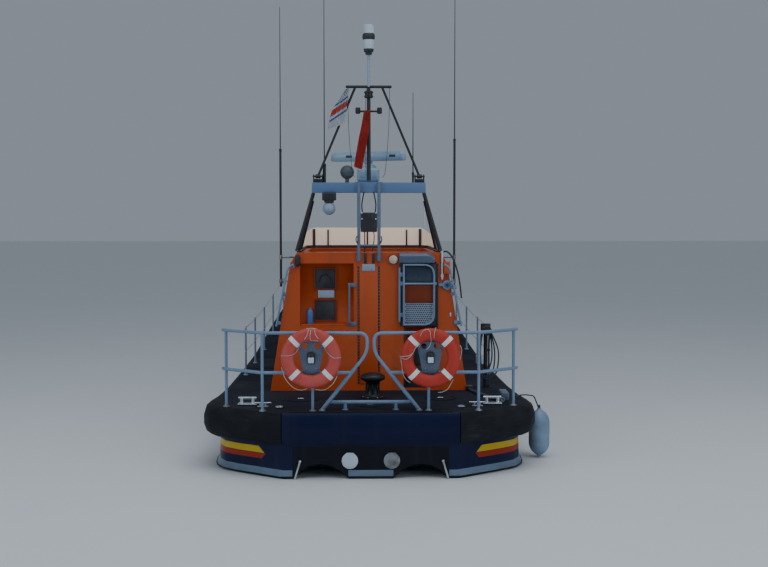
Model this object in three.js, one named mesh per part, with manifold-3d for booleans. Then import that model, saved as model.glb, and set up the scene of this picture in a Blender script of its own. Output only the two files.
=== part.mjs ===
// A 14 m twin-screw lifeboat afloat, built of separate closed pieces.
// Units are millimetres: +X is starboard, +Y is forward and +Z is up.
// The origin is on the centreline, amidships, at the waterline.
import * as THREE from 'three';
import { mergeVertices } from 'three/addons/utils/BufferGeometryUtils.js';
import Module from 'manifold-3d';

const wasm = await Module();
wasm.setup();

// Driving dimensions
const LENGTH = 14260;
const PAD_AFT = 100;
const TRANSOM_Y = -LENGTH / 2 + PAD_AFT;
const DECK_THICK = 24;
const DECK_Z = 860;
const GAP = 0.4;
const BEND_STEPS = 3;
const BEYOND = 600;
const SIDES = [['port', -1], ['starboard', 1]];

// Hull stations. Columns: distance ahead of the transom, keel z, half breadth and z of the chine,
// half breadth and z of the deck edge.
const HULL_TABLE = [
  [0, -600, 1120, 30, 1150, 860],
  [300, -615, 1530, 28, 1560, 860],
  [620, -630, 1920, 25, 1930, 860],
  [1050, -650, 2055, 22, 2020, 860],
  [1700, -680, 2060, 20, 2025, 860],
  [3400, -750, 2020, 20, 2000, 860],
  [5000, -800, 1980, 35, 1975, 865],
  [6700, -835, 1880, 90, 1940, 905],
  [8200, -835, 1690, 190, 1870, 1065],
  [9500, -805, 1430, 320, 1740, 1320],
  [10800, -715, 1060, 500, 1500, 1620],
  [12000, -520, 670, 740, 1120, 1880],
  [13100, -120, 310, 1060, 660, 2060],
  [13750, 480, 110, 1360, 300, 2150],
  [14080, 1150, 35, 1640, 70, 2190],
];
const HULL_ROWS = [0, 150, 300, 460, 620, 820, 1050, 1350, 1700, 2500, 3400, 4200, 5000, 5850, 6700, 7450,
  8200, 8850, 9500, 10150, 10800, 11400, 12000, 12550, 13100, 13450, 13750, 14080];
const SPRAY_RAIL = 50;

// Superstructure stations. Columns: distance ahead of the transom, half breadth at the deck,
// half breadth and z of the shoulder, half breadth and z of the top.
const HOUSE_TABLE = [
  [1950, 1420, 1130, 2700, 1030, 2860],
  [6200, 1420, 1130, 2700, 1030, 2860],
  [7500, 1330, 1120, 1960, 1000, 2060],
  [9700, 1010, 900, 1560, 800, 1620],
];
const HOUSE_FOOT_Z = 500;
const HOUSE_WALL = 60;
const HOUSE_AFT = 1950;
const HOUSE_FRONT = 9700;
const CABIN_AFT = 4200;

// Solids
function solidFrom(geometry) {
  const bare = geometry.index ? geometry.clone() : geometry;
  bare.deleteAttribute('normal');
  bare.deleteAttribute('uv');
  const merged = mergeVertices(bare, 1e-3);
  return new wasm.Manifold(new wasm.Mesh({
    numProp: 3,
    vertProperties: new Float32Array(merged.attributes.position.array),
    triVerts: new Uint32Array(merged.index.array),
  }));
}

function geometryFrom(solid) {
  const mesh = solid.getMesh();
  const geometry = new THREE.BufferGeometry();
  geometry.setAttribute('position', new THREE.BufferAttribute(mesh.vertProperties, 3));
  geometry.setIndex(new THREE.BufferAttribute(mesh.triVerts, 1));
  geometry.computeVertexNormals();
  return geometry;
}

function join(...solids) {
  return solids.reduce((all, next) => all.add(next));
}

function vec(x, y, z) {
  return new THREE.Vector3(x, y, z);
}

function along(ahead) {
  return TRANSOM_Y + ahead;
}

// A box from its two opposite corners, given as ranges in X, in distance ahead of the transom and in Z.
function block([x0, x1], [a0, a1], [z0, z1]) {
  const geometry = new THREE.BoxGeometry(Math.abs(x1 - x0), Math.abs(a1 - a0), Math.abs(z1 - z0));
  geometry.translate((x0 + x1) / 2, along((a0 + a1) / 2), (z0 + z1) / 2);
  return solidFrom(geometry);
}

function rod(from, to, radius, sides = 8, endRadius = radius) {
  const span = to.clone().sub(from);
  const geometry = new THREE.CylinderGeometry(endRadius, radius, span.length(), sides);
  geometry.applyQuaternion(new THREE.Quaternion().setFromUnitVectors(vec(0, 1, 0), span.normalize()));
  const middle = from.clone().lerp(to, 0.5);
  geometry.translate(middle.x, middle.y, middle.z);
  return solidFrom(geometry);
}

function circleShape(radius, sides) {
  const points = Array.from({ length: sides }, (_, i) => {
    const turn = (i / sides) * Math.PI * 2;
    return new THREE.Vector2(Math.cos(turn) * radius, Math.sin(turn) * radius);
  });
  return new THREE.Shape(points);
}

function curveTube(curve, radius, steps, sides) {
  const options = { steps, bevelEnabled: false, extrudePath: curve };
  return solidFrom(new THREE.ExtrudeGeometry(circleShape(radius, sides), options));
}

// A tube through corner points, each inner corner rounded over the given length.
function bentTube(points, radius, bend, sides = 6) {
  const parts = [];
  let start = points[0];
  for (let i = 1; i < points.length - 1; i += 1) {
    const corner = points[i];
    const arrive = corner.clone().add(points[i - 1].clone().sub(corner).setLength(bend));
    const leave = corner.clone().add(points[i + 1].clone().sub(corner).setLength(bend));
    const turn = new THREE.QuadraticBezierCurve3(arrive, corner, leave);
    parts.push(rod(start, arrive.clone().lerp(corner, 0.02), radius, sides));
    parts.push(curveTube(turn, radius, BEND_STEPS, sides));
    start = leave.clone().lerp(corner, 0.02);
  }
  parts.push(rod(start, points[points.length - 1], radius, sides));
  return join(...parts);
}

function extruded(shape, depth) {
  return new THREE.ExtrudeGeometry(shape, { depth, bevelEnabled: false, curveSegments: 6 });
}

// A shape drawn in the XZ plane, pushed along Y between two distances ahead of the transom.
function plateAcross(shape, from, to) {
  const geometry = extruded(shape, to - from);
  geometry.rotateX(Math.PI / 2);
  geometry.translate(0, along(to), 0);
  return solidFrom(geometry);
}

// A shape drawn in the XY plane, pushed up from z0 to z1.
function plateUp(shape, z0, z1) {
  const geometry = extruded(shape, z1 - z0);
  geometry.translate(0, 0, z0);
  return solidFrom(geometry);
}

function turned(profile, x, ahead, z, sides = 16) {
  const geometry = new THREE.LatheGeometry(profile.map(([r, h]) => new THREE.Vector2(r, h)), sides);
  geometry.rotateX(Math.PI / 2);
  geometry.translate(x, along(ahead), z);
  return solidFrom(geometry);
}

// A closed skin over sections of equal point counts, with both ends capped.
function loft(sections) {
  const count = sections[0].length;
  const points = sections.flat();
  const index = [];
  for (let s = 0; s < sections.length - 1; s += 1) {
    for (let i = 0; i < count; i += 1) {
      const a = s * count + i;
      const b = s * count + ((i + 1) % count);
      index.push(a, b, a + count, b, b + count, a + count);
    }
  }
  const flatReach = (p, from) => Math.hypot(p.x - from.x, p.y - from.y);
  const capPoints = (section) => {
    const [origin] = section;
    const far = section.reduce((best, p) => (flatReach(p, origin) > flatReach(best, origin) ? p : best));
    const across = vec(far.x - origin.x, far.y - origin.y, 0).normalize();
    return section.map((p) => new THREE.Vector2(p.clone().sub(origin).dot(across), p.z));
  };
  // A cap's triangles, turned the same way round as the section's own points.
  const capTriangles = (section) => {
    const flat = capPoints(section);
    const { area, triangulateShape } = THREE.ShapeUtils;
    const turn = Math.sign(area(flat));
    const keep = ([a, b, c]) => Math.sign(area([flat[a], flat[b], flat[c]])) === turn;
    return triangulateShape(flat, []).map((face) => (keep(face) ? face : [...face].reverse()));
  };
  const last = (sections.length - 1) * count;
  capTriangles(sections[0]).forEach(([a, b, c]) => index.push(c, b, a));
  capTriangles(sections[sections.length - 1]).forEach((face) => index.push(...face.map((i) => last + i)));
  const volume = index.reduce((sum, _, i) => {
    if (i % 3) return sum;
    return sum + points[index[i]].dot(points[index[i + 1]].clone().cross(points[index[i + 2]]));
  }, 0);
  const geometry = new THREE.BufferGeometry().setFromPoints(points);
  geometry.setIndex(volume > 0 ? index : index.reverse());
  return solidFrom(geometry);
}

// Smooth values between the rows of a table whose first column is the distance ahead.
function tableCurve(table) {
  const places = table.map((row) => row[0]);
  const values = table.flatMap((row) => row.slice(1));
  const curve = new THREE.CubicInterpolant(places, values, table[0].length - 1);
  return (ahead) => Array.from(curve.evaluate(ahead));
}

// Hull
const hullAt = tableCurve(HULL_TABLE);
const DECK_END = HULL_ROWS[HULL_ROWS.length - 1];

// A closed section from pairs of x and z up its starboard side, the same to port, and a keel point if any.
function mirroredLoop(y, half, keel = []) {
  const starboard = half.map(([x, z]) => vec(x, y, z));
  const port = half.map(([x, z]) => vec(-x, y, z)).reverse();
  return [...keel.map((z) => vec(0, y, z)), ...starboard, ...port];
}

function hullSection(ahead, grow, rise) {
  const [keelZ, chineX, chineZ, edgeX, edgeZ] = hullAt(ahead);
  const rail = Math.min(SPRAY_RAIL, chineX * 0.12);
  const { lerp } = THREE.MathUtils;
  const half = [
    [chineX * 0.5, lerp(keelZ, chineZ, 0.46) - grow],
    [chineX + rail + grow, chineZ - grow],
    [chineX + grow, chineZ + rail * 0.9],
    [lerp(chineX, edgeX, 0.42) + grow, lerp(chineZ, edgeZ, 0.5)],
    [edgeX + grow, edgeZ - DECK_THICK],
  ];
  const raised = rise > 0 ? [[edgeX + grow, edgeZ - DECK_THICK + rise]] : [];
  const aftEnd = ahead === 0 ? -grow : 0;
  return mirroredLoop(along(ahead + aftEnd), [...half, ...raised], [keelZ - grow]);
}

function hullBody(grow = 0, rise = 0) {
  return loft(HULL_ROWS.map((ahead) => hullSection(ahead, grow, rise)));
}

// Propeller tunnels: round grooves that rise towards the transom.
const SHAFT_X = 650;
const TUNNEL_RADIUS = 450;
const TUNNEL_Z = -270;
const TUNNEL_SLOPE = -0.265;
const TUNNEL_RUN = [-300, 2900];

function tunnel(side, shrink) {
  const [start, end] = TUNNEL_RUN.map((ahead) => {
    return vec(side * SHAFT_X, along(ahead), TUNNEL_Z + ahead * TUNNEL_SLOPE);
  });
  return rod(start, end, TUNNEL_RADIUS - shrink, 20);
}

// The shaft line, which rises forward from the propeller.
const PROP_AHEAD = 1500;
const PROP_Z = TUNNEL_Z + PROP_AHEAD * TUNNEL_SLOPE;
const SHAFT_TILT = THREE.MathUtils.degToRad(7);
const SHAFT_RADIUS = 38;
const SHAFT_END = 3600;
const BORE_ROOM = 10;
const BRACKET_AHEAD = [1900, 2120];
const RUDDER = { ahead: 680, nose: 170, tail: 320, half: 42, tailHalf: 6, z: [-1090, -130] };
const STOCK = { radius: 35, top: 330 };

function shaftPoint(side, ahead) {
  return vec(side * SHAFT_X, along(ahead), PROP_Z + (ahead - PROP_AHEAD) * Math.tan(SHAFT_TILT));
}

function shaftBore(side) {
  const end = SHAFT_END + BORE_ROOM;
  return rod(shaftPoint(side, BRACKET_AHEAD[1]), shaftPoint(side, end), SHAFT_RADIUS + BORE_ROOM, 12);
}

function rudderStock(side, low, high, radius) {
  const [x, y] = [side * SHAFT_X, along(RUDDER.ahead)];
  return rod(vec(x, y, low), vec(x, y, high), radius, 12);
}

function stockBore(side) {
  return rudderStock(side, RUDDER.z[1] - BEYOND, STOCK.top + BORE_ROOM, STOCK.radius + BORE_ROOM);
}

const SKEG_PROFILE = [[2300, -600], [2500, -1290], [6000, -1170], [10300, -760], [10300, -600]];
const SKEG_THICK = 110;
const BILGE_KEEL_PROFILE = [[1250, -150], [1550, -980], [4300, -980], [5200, -150]];
const BILGE_KEEL_X = 1280;
const BILGE_KEEL_THICK = 60;

// A shape drawn in the YZ plane, given as distances ahead and z, pushed along X.
function plateAlong(profile, x0, x1) {
  const shape = new THREE.Shape(profile.map(([ahead, z]) => new THREE.Vector2(along(ahead), z)));
  const geometry = extruded(shape, x1 - x0);
  geometry.rotateX(Math.PI / 2);
  geometry.rotateZ(Math.PI / 2);
  geometry.translate(x0, 0, 0);
  return solidFrom(geometry);
}

function tunnelledBody(grow) {
  return SIDES.reduce((solid, [, side]) => solid.subtract(tunnel(side, grow)), hullBody(grow));
}

const ENGINE_ROOM = { x: [-1180, 1180], ahead: [3900, 6500], z: [-200, 1200] };
const ENGINE = { width: 880, ahead: [4300, 6000], z: [ENGINE_ROOM.z[0] + GAP, 690] };

function makeHull() {
  const keel = plateAlong(SKEG_PROFILE, -SKEG_THICK / 2, SKEG_THICK / 2);
  const bilgeKeels = SIDES.map(([, side]) => {
    const x = side * BILGE_KEEL_X;
    return plateAlong(BILGE_KEEL_PROFILE, x - BILGE_KEEL_THICK / 2, x + BILGE_KEEL_THICK / 2);
  });
  const whole = join(tunnelledBody(0), keel, ...bilgeKeels);
  const cuts = SIDES.flatMap(([, side]) => [shaftBore(side), stockBore(side)]);
  const room = block(ENGINE_ROOM.x, ENGINE_ROOM.ahead, ENGINE_ROOM.z);
  return [...cuts, room].reduce((solid, cut) => solid.subtract(cut), whole);
}

function makeDeck() {
  return loft(HULL_ROWS.map((ahead) => {
    const [, , , edgeX, edgeZ] = hullAt(ahead);
    return mirroredLoop(along(ahead), [[edgeX, edgeZ - DECK_THICK + GAP], [edgeX, edgeZ]]);
  }));
}

// Everything at or below the deck surface, used to trim what stands on the deck.
function belowDeck() {
  return loft(HULL_ROWS.map((ahead) => {
    const [, , , edgeX, edgeZ] = hullAt(ahead);
    return mirroredLoop(along(ahead), [[edgeX + BEYOND, -BEYOND], [edgeX + BEYOND, edgeZ + GAP]]);
  }));
}

// Belting. Columns: distance ahead, thickness and height of the rubber section.
const BELTING_TABLE = [
  [0, 105, 395],
  [300, 195, 400],
  [620, 235, 400],
  [1100, 232, 400],
  [2000, 85, 260],
  [6000, 80, 220],
  [DECK_END, 70, 190],
];
const BELTING_INSIDE = -150;

function tableValue(table, ahead, column) {
  const next = Math.max(1, table.findIndex((row) => row[0] >= ahead));
  const [before, after] = [table[next - 1], table[next]];
  return THREE.MathUtils.mapLinear(ahead, before[0], after[0], before[column], after[column]);
}

function deckEdge(ahead) {
  return new THREE.Vector2(hullAt(ahead)[3], ahead);
}

function makeBelting(side) {
  const sections = HULL_ROWS.map((ahead, i) => {
    const here = deckEdge(ahead);
    const behind = deckEdge(HULL_ROWS[Math.max(0, i - 1)]);
    const front = deckEdge(HULL_ROWS[Math.min(HULL_ROWS.length - 1, i + 1)]);
    const run = front.sub(behind).normalize();
    const out = i === 0 ? new THREE.Vector2(0, -1) : new THREE.Vector2(run.y, -run.x);
    return beltingSection(side, here, out, hullAt(ahead)[4], ahead);
  });
  const stem = new THREE.Vector2(2, DECK_END);
  sections.push(beltingSection(side, stem, new THREE.Vector2(0, 1), hullAt(DECK_END)[4], DECK_END));
  return loft(sections).subtract(hullBody(GAP, BEYOND));
}

function beltingSection(side, here, out, top, ahead) {
  const thick = tableValue(BELTING_TABLE, ahead, 1);
  const high = tableValue(BELTING_TABLE, ahead, 2);
  const profile = [
    [BELTING_INSIDE, 0], [thick * 0.45, 0], [thick * 0.88, 0.12], [thick, 0.35],
    [thick, 0.65], [thick * 0.85, 0.9], [thick * 0.5, 1], [BELTING_INSIDE, 1],
  ];
  return profile.map(([push, drop]) => {
    const x = here.x + out.x * push;
    return vec(side * Math.max(x, GAP), along(here.y + out.y * push), top - drop * high);
  });
}

const PANEL = { half: 1140, z: [460, DECK_Z], chamfer: 60, edge: 0.6 };
const EXHAUST = { x: 270, z: 240, radius: 105, thick: 45 };

function makeTransomPanel() {
  const { half, z: [low, high], chamfer, edge } = PANEL;
  const profile = [
    [-GAP, low], [-GAP, high], [-PAD_AFT * edge, high],
    [-PAD_AFT, high - chamfer], [-PAD_AFT, low + chamfer], [-PAD_AFT * edge, low],
  ];
  return plateAlong(profile, -half, half);
}

function makeExhaust(side) {
  const x = side * EXHAUST.x;
  return rod(vec(x, along(-EXHAUST.thick), EXHAUST.z), vec(x, along(-GAP), EXHAUST.z), EXHAUST.radius, 16);
}

function makeEngine(side) {
  const middle = side * SHAFT_X;
  return block([middle - ENGINE.width / 2, middle + ENGINE.width / 2], ENGINE.ahead, ENGINE.z);
}

// Underwater gear
const PROP = { radius: 385, hub: 80, hubRun: [-90, 110], blades: 4, thick: 16 };
const PITCH = THREE.MathUtils.degToRad(34);

function makeBlade(side, index) {
  const { radius, thick, blades } = PROP;
  const shape = new THREE.Shape();
  shape.absellipse(0, radius * 0.58, radius * 0.3, radius * 0.42, 0, Math.PI * 2);
  const geometry = new THREE.ExtrudeGeometry(shape, { depth: thick, bevelEnabled: false, curveSegments: 5 });
  geometry.translate(0, 0, -thick / 2);
  geometry.rotateX(Math.PI / 2);
  geometry.rotateZ(side * PITCH);
  geometry.rotateY((index / blades) * Math.PI * 2);
  geometry.rotateX(SHAFT_TILT);
  const centre = shaftPoint(side, PROP_AHEAD);
  geometry.translate(centre.x, centre.y, centre.z);
  return solidFrom(geometry);
}

function makePropeller(side) {
  const { hub, hubRun, blades } = PROP;
  const [hubAft, hubFront] = hubRun.map((step) => shaftPoint(side, PROP_AHEAD + step));
  const shaft = rod(shaftPoint(side, PROP_AHEAD), shaftPoint(side, SHAFT_END), SHAFT_RADIUS, 12);
  const boss = rod(hubAft, hubFront, hub * 0.8, 12, hub);
  return join(shaft, boss, ...Array.from({ length: blades }, (_, i) => makeBlade(side, i)));
}

const BARREL_RADIUS = 78;
const ARM = { spread: 230, rise: 560, radius: 30 };

function makeShaftBracket(side) {
  const [aft, front] = BRACKET_AHEAD;
  const barrel = rod(shaftPoint(side, aft), shaftPoint(side, front), BARREL_RADIUS, 14);
  const middle = shaftPoint(side, (aft + front) / 2);
  const arms = [-1, 1].map((lean) => {
    return rod(middle, middle.clone().add(vec(lean * ARM.spread, 0, ARM.rise)), ARM.radius, 8);
  });
  const bore = rod(shaftPoint(side, aft - 50), shaftPoint(side, front + 50), SHAFT_RADIUS + BORE_ROOM, 14);
  return join(barrel, ...arms).subtract(bore).subtract(tunnelledBody(GAP));
}

function makeRudder(side) {
  const x = side * SHAFT_X;
  const { ahead, nose, tail, half, tailHalf, z: [low, high] } = RUDDER;
  const [stockY, noseY, tailY] = [ahead, ahead + nose, ahead - tail].map(along);
  const [cheek, cheekY] = [half * 1.3, noseY - 30];
  const outline = new THREE.Shape();
  outline.moveTo(x, noseY);
  outline.quadraticCurveTo(x + cheek, cheekY, x + half, stockY);
  outline.lineTo(x + tailHalf, tailY);
  outline.lineTo(x - tailHalf, tailY);
  outline.lineTo(x - half, stockY);
  outline.quadraticCurveTo(x - cheek, cheekY, x, noseY);
  return join(plateUp(outline, low, high), rudderStock(side, low + STOCK.radius, STOCK.top, STOCK.radius));
}

// Superstructure
function houseSection(ahead, inset) {
  const value = (column) => tableValue(HOUSE_TABLE, ahead, column);
  const [base, shoulder, shoulderZ, top, topZ] = [1, 2, 3, 4, 5].map(value);
  return mirroredLoop(along(ahead), [
    [base - inset, HOUSE_FOOT_Z],
    [base - inset, DECK_Z],
    [shoulder - inset, shoulderZ - inset * 0.3],
    [top - inset, topZ - inset],
  ]);
}

function houseBody(inset, from = HOUSE_AFT, to = HOUSE_FRONT) {
  const rows = [from, ...HOUSE_TABLE.map((row) => row[0]).filter((ahead) => ahead > from && ahead < to), to];
  return loft(rows.map((ahead) => houseSection(ahead, inset)));
}

// The open well of the upper steering position, behind the wheelhouse bulkhead.
const WELL = { x: [-900, 900], ahead: [2150, 4050], floor: 1780 };
const GATE_OPENING = { x: [500, 970], z: [1800, 2720] };
const ALCOVE = { x: [-990, -220], depth: 110, z: [1800, 2700] };
// Steps from the aft deck up to the gate. Columns: distance ahead of the riser and z of the tread below it.
const STEPS = [[2110, 1200], [2360, 1490]];
const STEPS_FOOT = { riser: 2040, z: 900 };
const COMPANIONWAY = { x: [-620, -40], z: [1820, 2720] };
const HATCH = { x: [-260, 260], ahead: [8320, 8840] };
const SIDE_WINDOWS = [
  [[4450, 2050], [5150, 2050], [5150, 2520], [4450, 2520]],
  [[5250, 2050], [5950, 2050], [5950, 2520], [5250, 2520]],
  [[6050, 2050], [6900, 2050], [6350, 2520], [6050, 2520]],
];
const FRONT_WINDOWS = [[-850, -330], [-260, 260], [330, 850]];
const FRONT_WINDOW_Z = [2180, 2700];
const SIDE_WINDOW_X = [900, 1700];
const GLASS = { thick: 12, lap: 50, back: 1, front: { x: 900, ahead: [6330, 7380], z: [2000, 2790] } };
const SIDE_GLASS = { x: [950, 1500], ahead: [4400, 6950], z: [2020, 2550] };

function stepCuts() {
  const top = GATE_OPENING.z[0] + GLASS.lap;
  const rows = [[STEPS_FOOT.riser, STEPS_FOOT.z], ...STEPS];
  return rows.map(([riser, tread]) => block(GATE_OPENING.x, [HOUSE_AFT - GLASS.lap, riser], [tread, top]));
}

function makeDeckhouse() {
  const [windowIn, windowOut] = SIDE_WINDOW_X;
  const cuts = [
    houseBody(HOUSE_WALL, CABIN_AFT, HOUSE_FRONT - HOUSE_WALL),
    block(WELL.x, WELL.ahead, [WELL.floor, WELL.floor + 3 * BEYOND]),
    block(GATE_OPENING.x, [HOUSE_AFT - GLASS.lap, WELL.ahead[0] + GLASS.lap], GATE_OPENING.z),
    block(ALCOVE.x, [HOUSE_AFT - GLASS.lap, HOUSE_AFT + ALCOVE.depth], ALCOVE.z),
    ...stepCuts(),
    block(COMPANIONWAY.x, [WELL.ahead[1] - GLASS.lap, CABIN_AFT + GLASS.lap], COMPANIONWAY.z),
    block(HATCH.x, HATCH.ahead, [roofZ(HATCH.ahead[1]) - 2 * HOUSE_WALL, roofZ(HATCH.ahead[0]) + HOUSE_WALL]),
    ...FRONT_WINDOWS.map((x) => block(x, [GLASS.front.ahead[0], HOUSE_FRONT], FRONT_WINDOW_Z)),
    ...SIDE_WINDOWS.flatMap((profile) => [
      plateAlong(profile, -windowOut, -windowIn), plateAlong(profile, windowIn, windowOut),
    ]),
    belowDeck(),
  ];
  return cuts.reduce((solid, cut) => solid.subtract(cut), houseBody(0));
}

function glassBand(region) {
  const face = HOUSE_WALL + GLASS.back;
  const outer = houseBody(face, CABIN_AFT, HOUSE_FRONT - face);
  const inner = houseBody(face + GLASS.thick, CABIN_AFT - GLASS.lap, HOUSE_FRONT);
  return outer.subtract(inner).intersect(region);
}

function makeFrontGlass() {
  const { x, ahead, z } = GLASS.front;
  return glassBand(block([-x, x], ahead, z));
}

function makeSideGlass(side) {
  return glassBand(block(SIDE_GLASS.x.map((x) => side * x), SIDE_GLASS.ahead, SIDE_GLASS.z));
}

// A box on the deck or cabin sole, trimmed to the deck surface.
function onDeck(solid) {
  return solid.subtract(belowDeck());
}

const CONSOLE = { half: 820, profile: [[6560, 700], [7150, 700], [7150, 1820], [6900, 1880], [6560, 1640]] };

function makeCabinConsole() {
  return onDeck(plateAlong(CONSOLE.profile, -CONSOLE.half, CONSOLE.half));
}

const SEAT = { x: 480, half: 240, ahead: [5500, 6000], z: [1280, 1420] };
const SEAT_BACK = { ahead: [5420, 5540], top: 2060 };
const PEDESTAL = { half: 140, ahead: [5620, 5880], low: 700 };

function makeSeat(side) {
  const { half, ahead, z: [low, high] } = SEAT;
  const x = side * SEAT.x;
  const cushion = block([x - half, x + half], ahead, [low, high]);
  const back = block([x - half, x + half], SEAT_BACK.ahead, [low + 20, SEAT_BACK.top]);
  const pedestal = block([x - PEDESTAL.half, x + PEDESTAL.half], PEDESTAL.ahead, [PEDESTAL.low, low + 20]);
  return onDeck(join(cushion, back, pedestal));
}

// Aft gate: a panel with a tube frame that stands off its aft face.
const GATE = { hingeX: 440, ahead: [1904, 1944], width: 530, z: [1800, 2700], tube: 16, bend: 130 };
const GATE_FRAME = { standOff: 40, inset: 20, barDrop: 290 };
const GATE_PANE = { in: [70, 60], drop: [250, 50], depth: 24 };

function makeGate() {
  const { hingeX, ahead: [aft, front], width, z: [low, high], tube, bend } = GATE;
  const { standOff, inset, barDrop } = GATE_FRAME;
  const edgeX = hingeX + width;
  const panel = block([hingeX + 12, edgeX], [aft + 14, front], [low, high]);
  const paneX = [hingeX + GATE_PANE.in[0], edgeX - GATE_PANE.in[1]];
  const paneZ = GATE_PANE.drop.map((drop) => high - drop);
  const pane = block(paneX, [aft - standOff, aft + GATE_PANE.depth], paneZ);
  const out = along(aft - standOff);
  const [top, bottom, middle] = [high - inset, low + inset, high - barDrop];
  const outline = [[hingeX, top], [edgeX, top], [edgeX, bottom], [hingeX, bottom]];
  const frame = bentTube(outline.map(([x, z]) => vec(x, out, z)), tube, bend);
  const bar = rod(vec(hingeX, out, middle), vec(edgeX, out, middle), tube);
  const footX = hingeX + standOff;
  const posts = [[footX, top], [footX, bottom], [footX, middle], [edgeX - 2, middle]].map(
    ([x, z]) => rod(vec(x, out, z), vec(x, along(aft + inset), z), tube),
  );
  const hinge = rod(vec(hingeX, along(aft), low + 60), vec(hingeX, along(aft), high - 60), tube, 10);
  const web = block([hingeX, hingeX + 30], [aft + 2, front], [low + 80, high - 80]);
  return join(panel.subtract(pane), frame, bar, ...posts, hinge, web);
}

const COMPANION = {
  hingeX: -650, hingeAhead: 4000, barrel: 14, width: 630, ahead: [4006, 4044], z: [1790, 2750],
};
const HANDLE = { in: [90, 60], out: 45, z: [2200, 2340] };

function makeCompanionDoor() {
  const { hingeX, hingeAhead, width, ahead, z: [low, high], barrel } = COMPANION;
  const leaf = block([hingeX + 4, hingeX + width], ahead, [low, high]);
  const hinge = [low + 40, high - 40].map((z) => vec(hingeX, along(hingeAhead), z));
  const handleX = HANDLE.in.map((inside) => hingeX + width - inside);
  const handle = block(handleX, [ahead[0] - HANDLE.out, ahead[0] + 5], HANDLE.z);
  return join(leaf, rod(...hinge, barrel, 10), handle);
}

// Forward hatch on the sloping coachroof.
const LID = { half: 300, ahead: [8280, 8880], thick: 45, lift: 6, barrel: 16, barrelIn: 60 };

function roofZ(ahead) {
  return tableValue(HOUSE_TABLE, ahead, 5);
}

function makeForwardHatch() {
  const { half, ahead: [aft, front], thick, lift, barrel, barrelIn } = LID;
  const at = (ahead, rise) => [ahead, roofZ(ahead) + lift + rise];
  const lid = plateAlong([at(aft, 0), at(front, 0), at(front, thick), at(aft, thick)], -half, half);
  const hinge = [-half + barrelIn, half - barrelIn].map((x) => vec(x, along(front), at(front, thick / 2)[1]));
  return join(lid, rod(...hinge, barrel, 10));
}

// Upper steering position
const SCREEN = { half: 1015, aft: 2700, front: 4360, radius: 300, baseZ: [2860 + GAP, 2905] };
const SHEET = { topZ: 3190, corner: 190, thick: 16, inset: 12, over: 5 };
const BASE_THICK = 42;
const SCREEN_POST = { radius: 10, out: 3, top: 3585, turn: Math.PI / 4 };

// A flat U open aft, of the given half width and wall.
function uBand(half, thick) {
  const { aft, front, radius } = SCREEN;
  const y0 = along(aft);
  const y1 = along(front);
  const shape = new THREE.Shape();
  shape.moveTo(half, y0);
  shape.lineTo(half, y1 - radius);
  shape.absarc(half - radius, y1 - radius, radius, 0, Math.PI / 2, false);
  shape.lineTo(-half + radius, y1);
  shape.absarc(-half + radius, y1 - radius, radius, Math.PI / 2, Math.PI, false);
  shape.lineTo(-half, y0);
  shape.lineTo(-half + thick, y0);
  shape.lineTo(-half + thick, y1 - radius);
  shape.absarc(-half + radius, y1 - radius, radius - thick, Math.PI, Math.PI / 2, true);
  shape.lineTo(half - radius, y1 - thick);
  shape.absarc(half - radius, y1 - radius, radius - thick, Math.PI / 2, 0, true);
  shape.lineTo(half - thick, y0);
  return shape;
}

// The base carries a thin upright at each front corner, just outside the sheet.
function makeScreenBase() {
  const { half, front, radius, baseZ } = SCREEN;
  const reach = radius + SCREEN_POST.out;
  const posts = SIDES.map(([, side]) => {
    const x = side * (half - radius + reach * Math.cos(SCREEN_POST.turn));
    const y = along(front - radius + reach * Math.sin(SCREEN_POST.turn));
    return rod(vec(x, y, baseZ[0]), vec(x, y, SCREEN_POST.top), SCREEN_POST.radius);
  });
  return join(plateUp(uBand(half, BASE_THICK), ...baseZ), ...posts);
}

function makeScreen() {
  const { half, aft, front, baseZ: [, low] } = SCREEN;
  const { topZ, corner, thick, inset, over } = SHEET;
  const reach = half + over;
  const outline = new THREE.Shape();
  outline.moveTo(-reach, low);
  outline.lineTo(reach, low);
  outline.lineTo(reach, topZ - corner);
  outline.absarc(reach - corner, topZ - corner, corner, 0, Math.PI / 2, false);
  outline.absarc(corner - reach, topZ - corner, corner, Math.PI / 2, Math.PI, false);
  const band = plateUp(uBand(half - inset, thick), low + GAP, topZ + over);
  return band.intersect(plateAcross(outline, aft - over, front + over));
}

const UPPER_CONSOLE = { x: [160, 820], ahead: [3640, 3860, 4040], z: [2600, 2800, 2780] };

function makeUpperConsole() {
  const { x, ahead: [aft, ridge, front], z: [aftTop, ridgeTop, frontTop] } = UPPER_CONSOLE;
  const floor = WELL.floor + GAP;
  const profile = [[aft, floor], [front, floor], [front, frontTop], [ridge, ridgeTop], [aft, aftTop]];
  return plateAlong(profile, ...x);
}

// Arch over the aft end of the deckhouse
const ARCH = { ahead: 2050, beamHalf: 817, beamZ: [3712, 3860], beamDepth: 90 };
const LEG = { footX: 1040, topX: 795, footZ: 2860, radius: 26, padX: 1000 };
const BRACE = { footX: 1000, topX: 805, step: 420, drop: 120, radius: 20 };
const PAD = { half: 36, deep: 55, thick: 24 };

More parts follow.
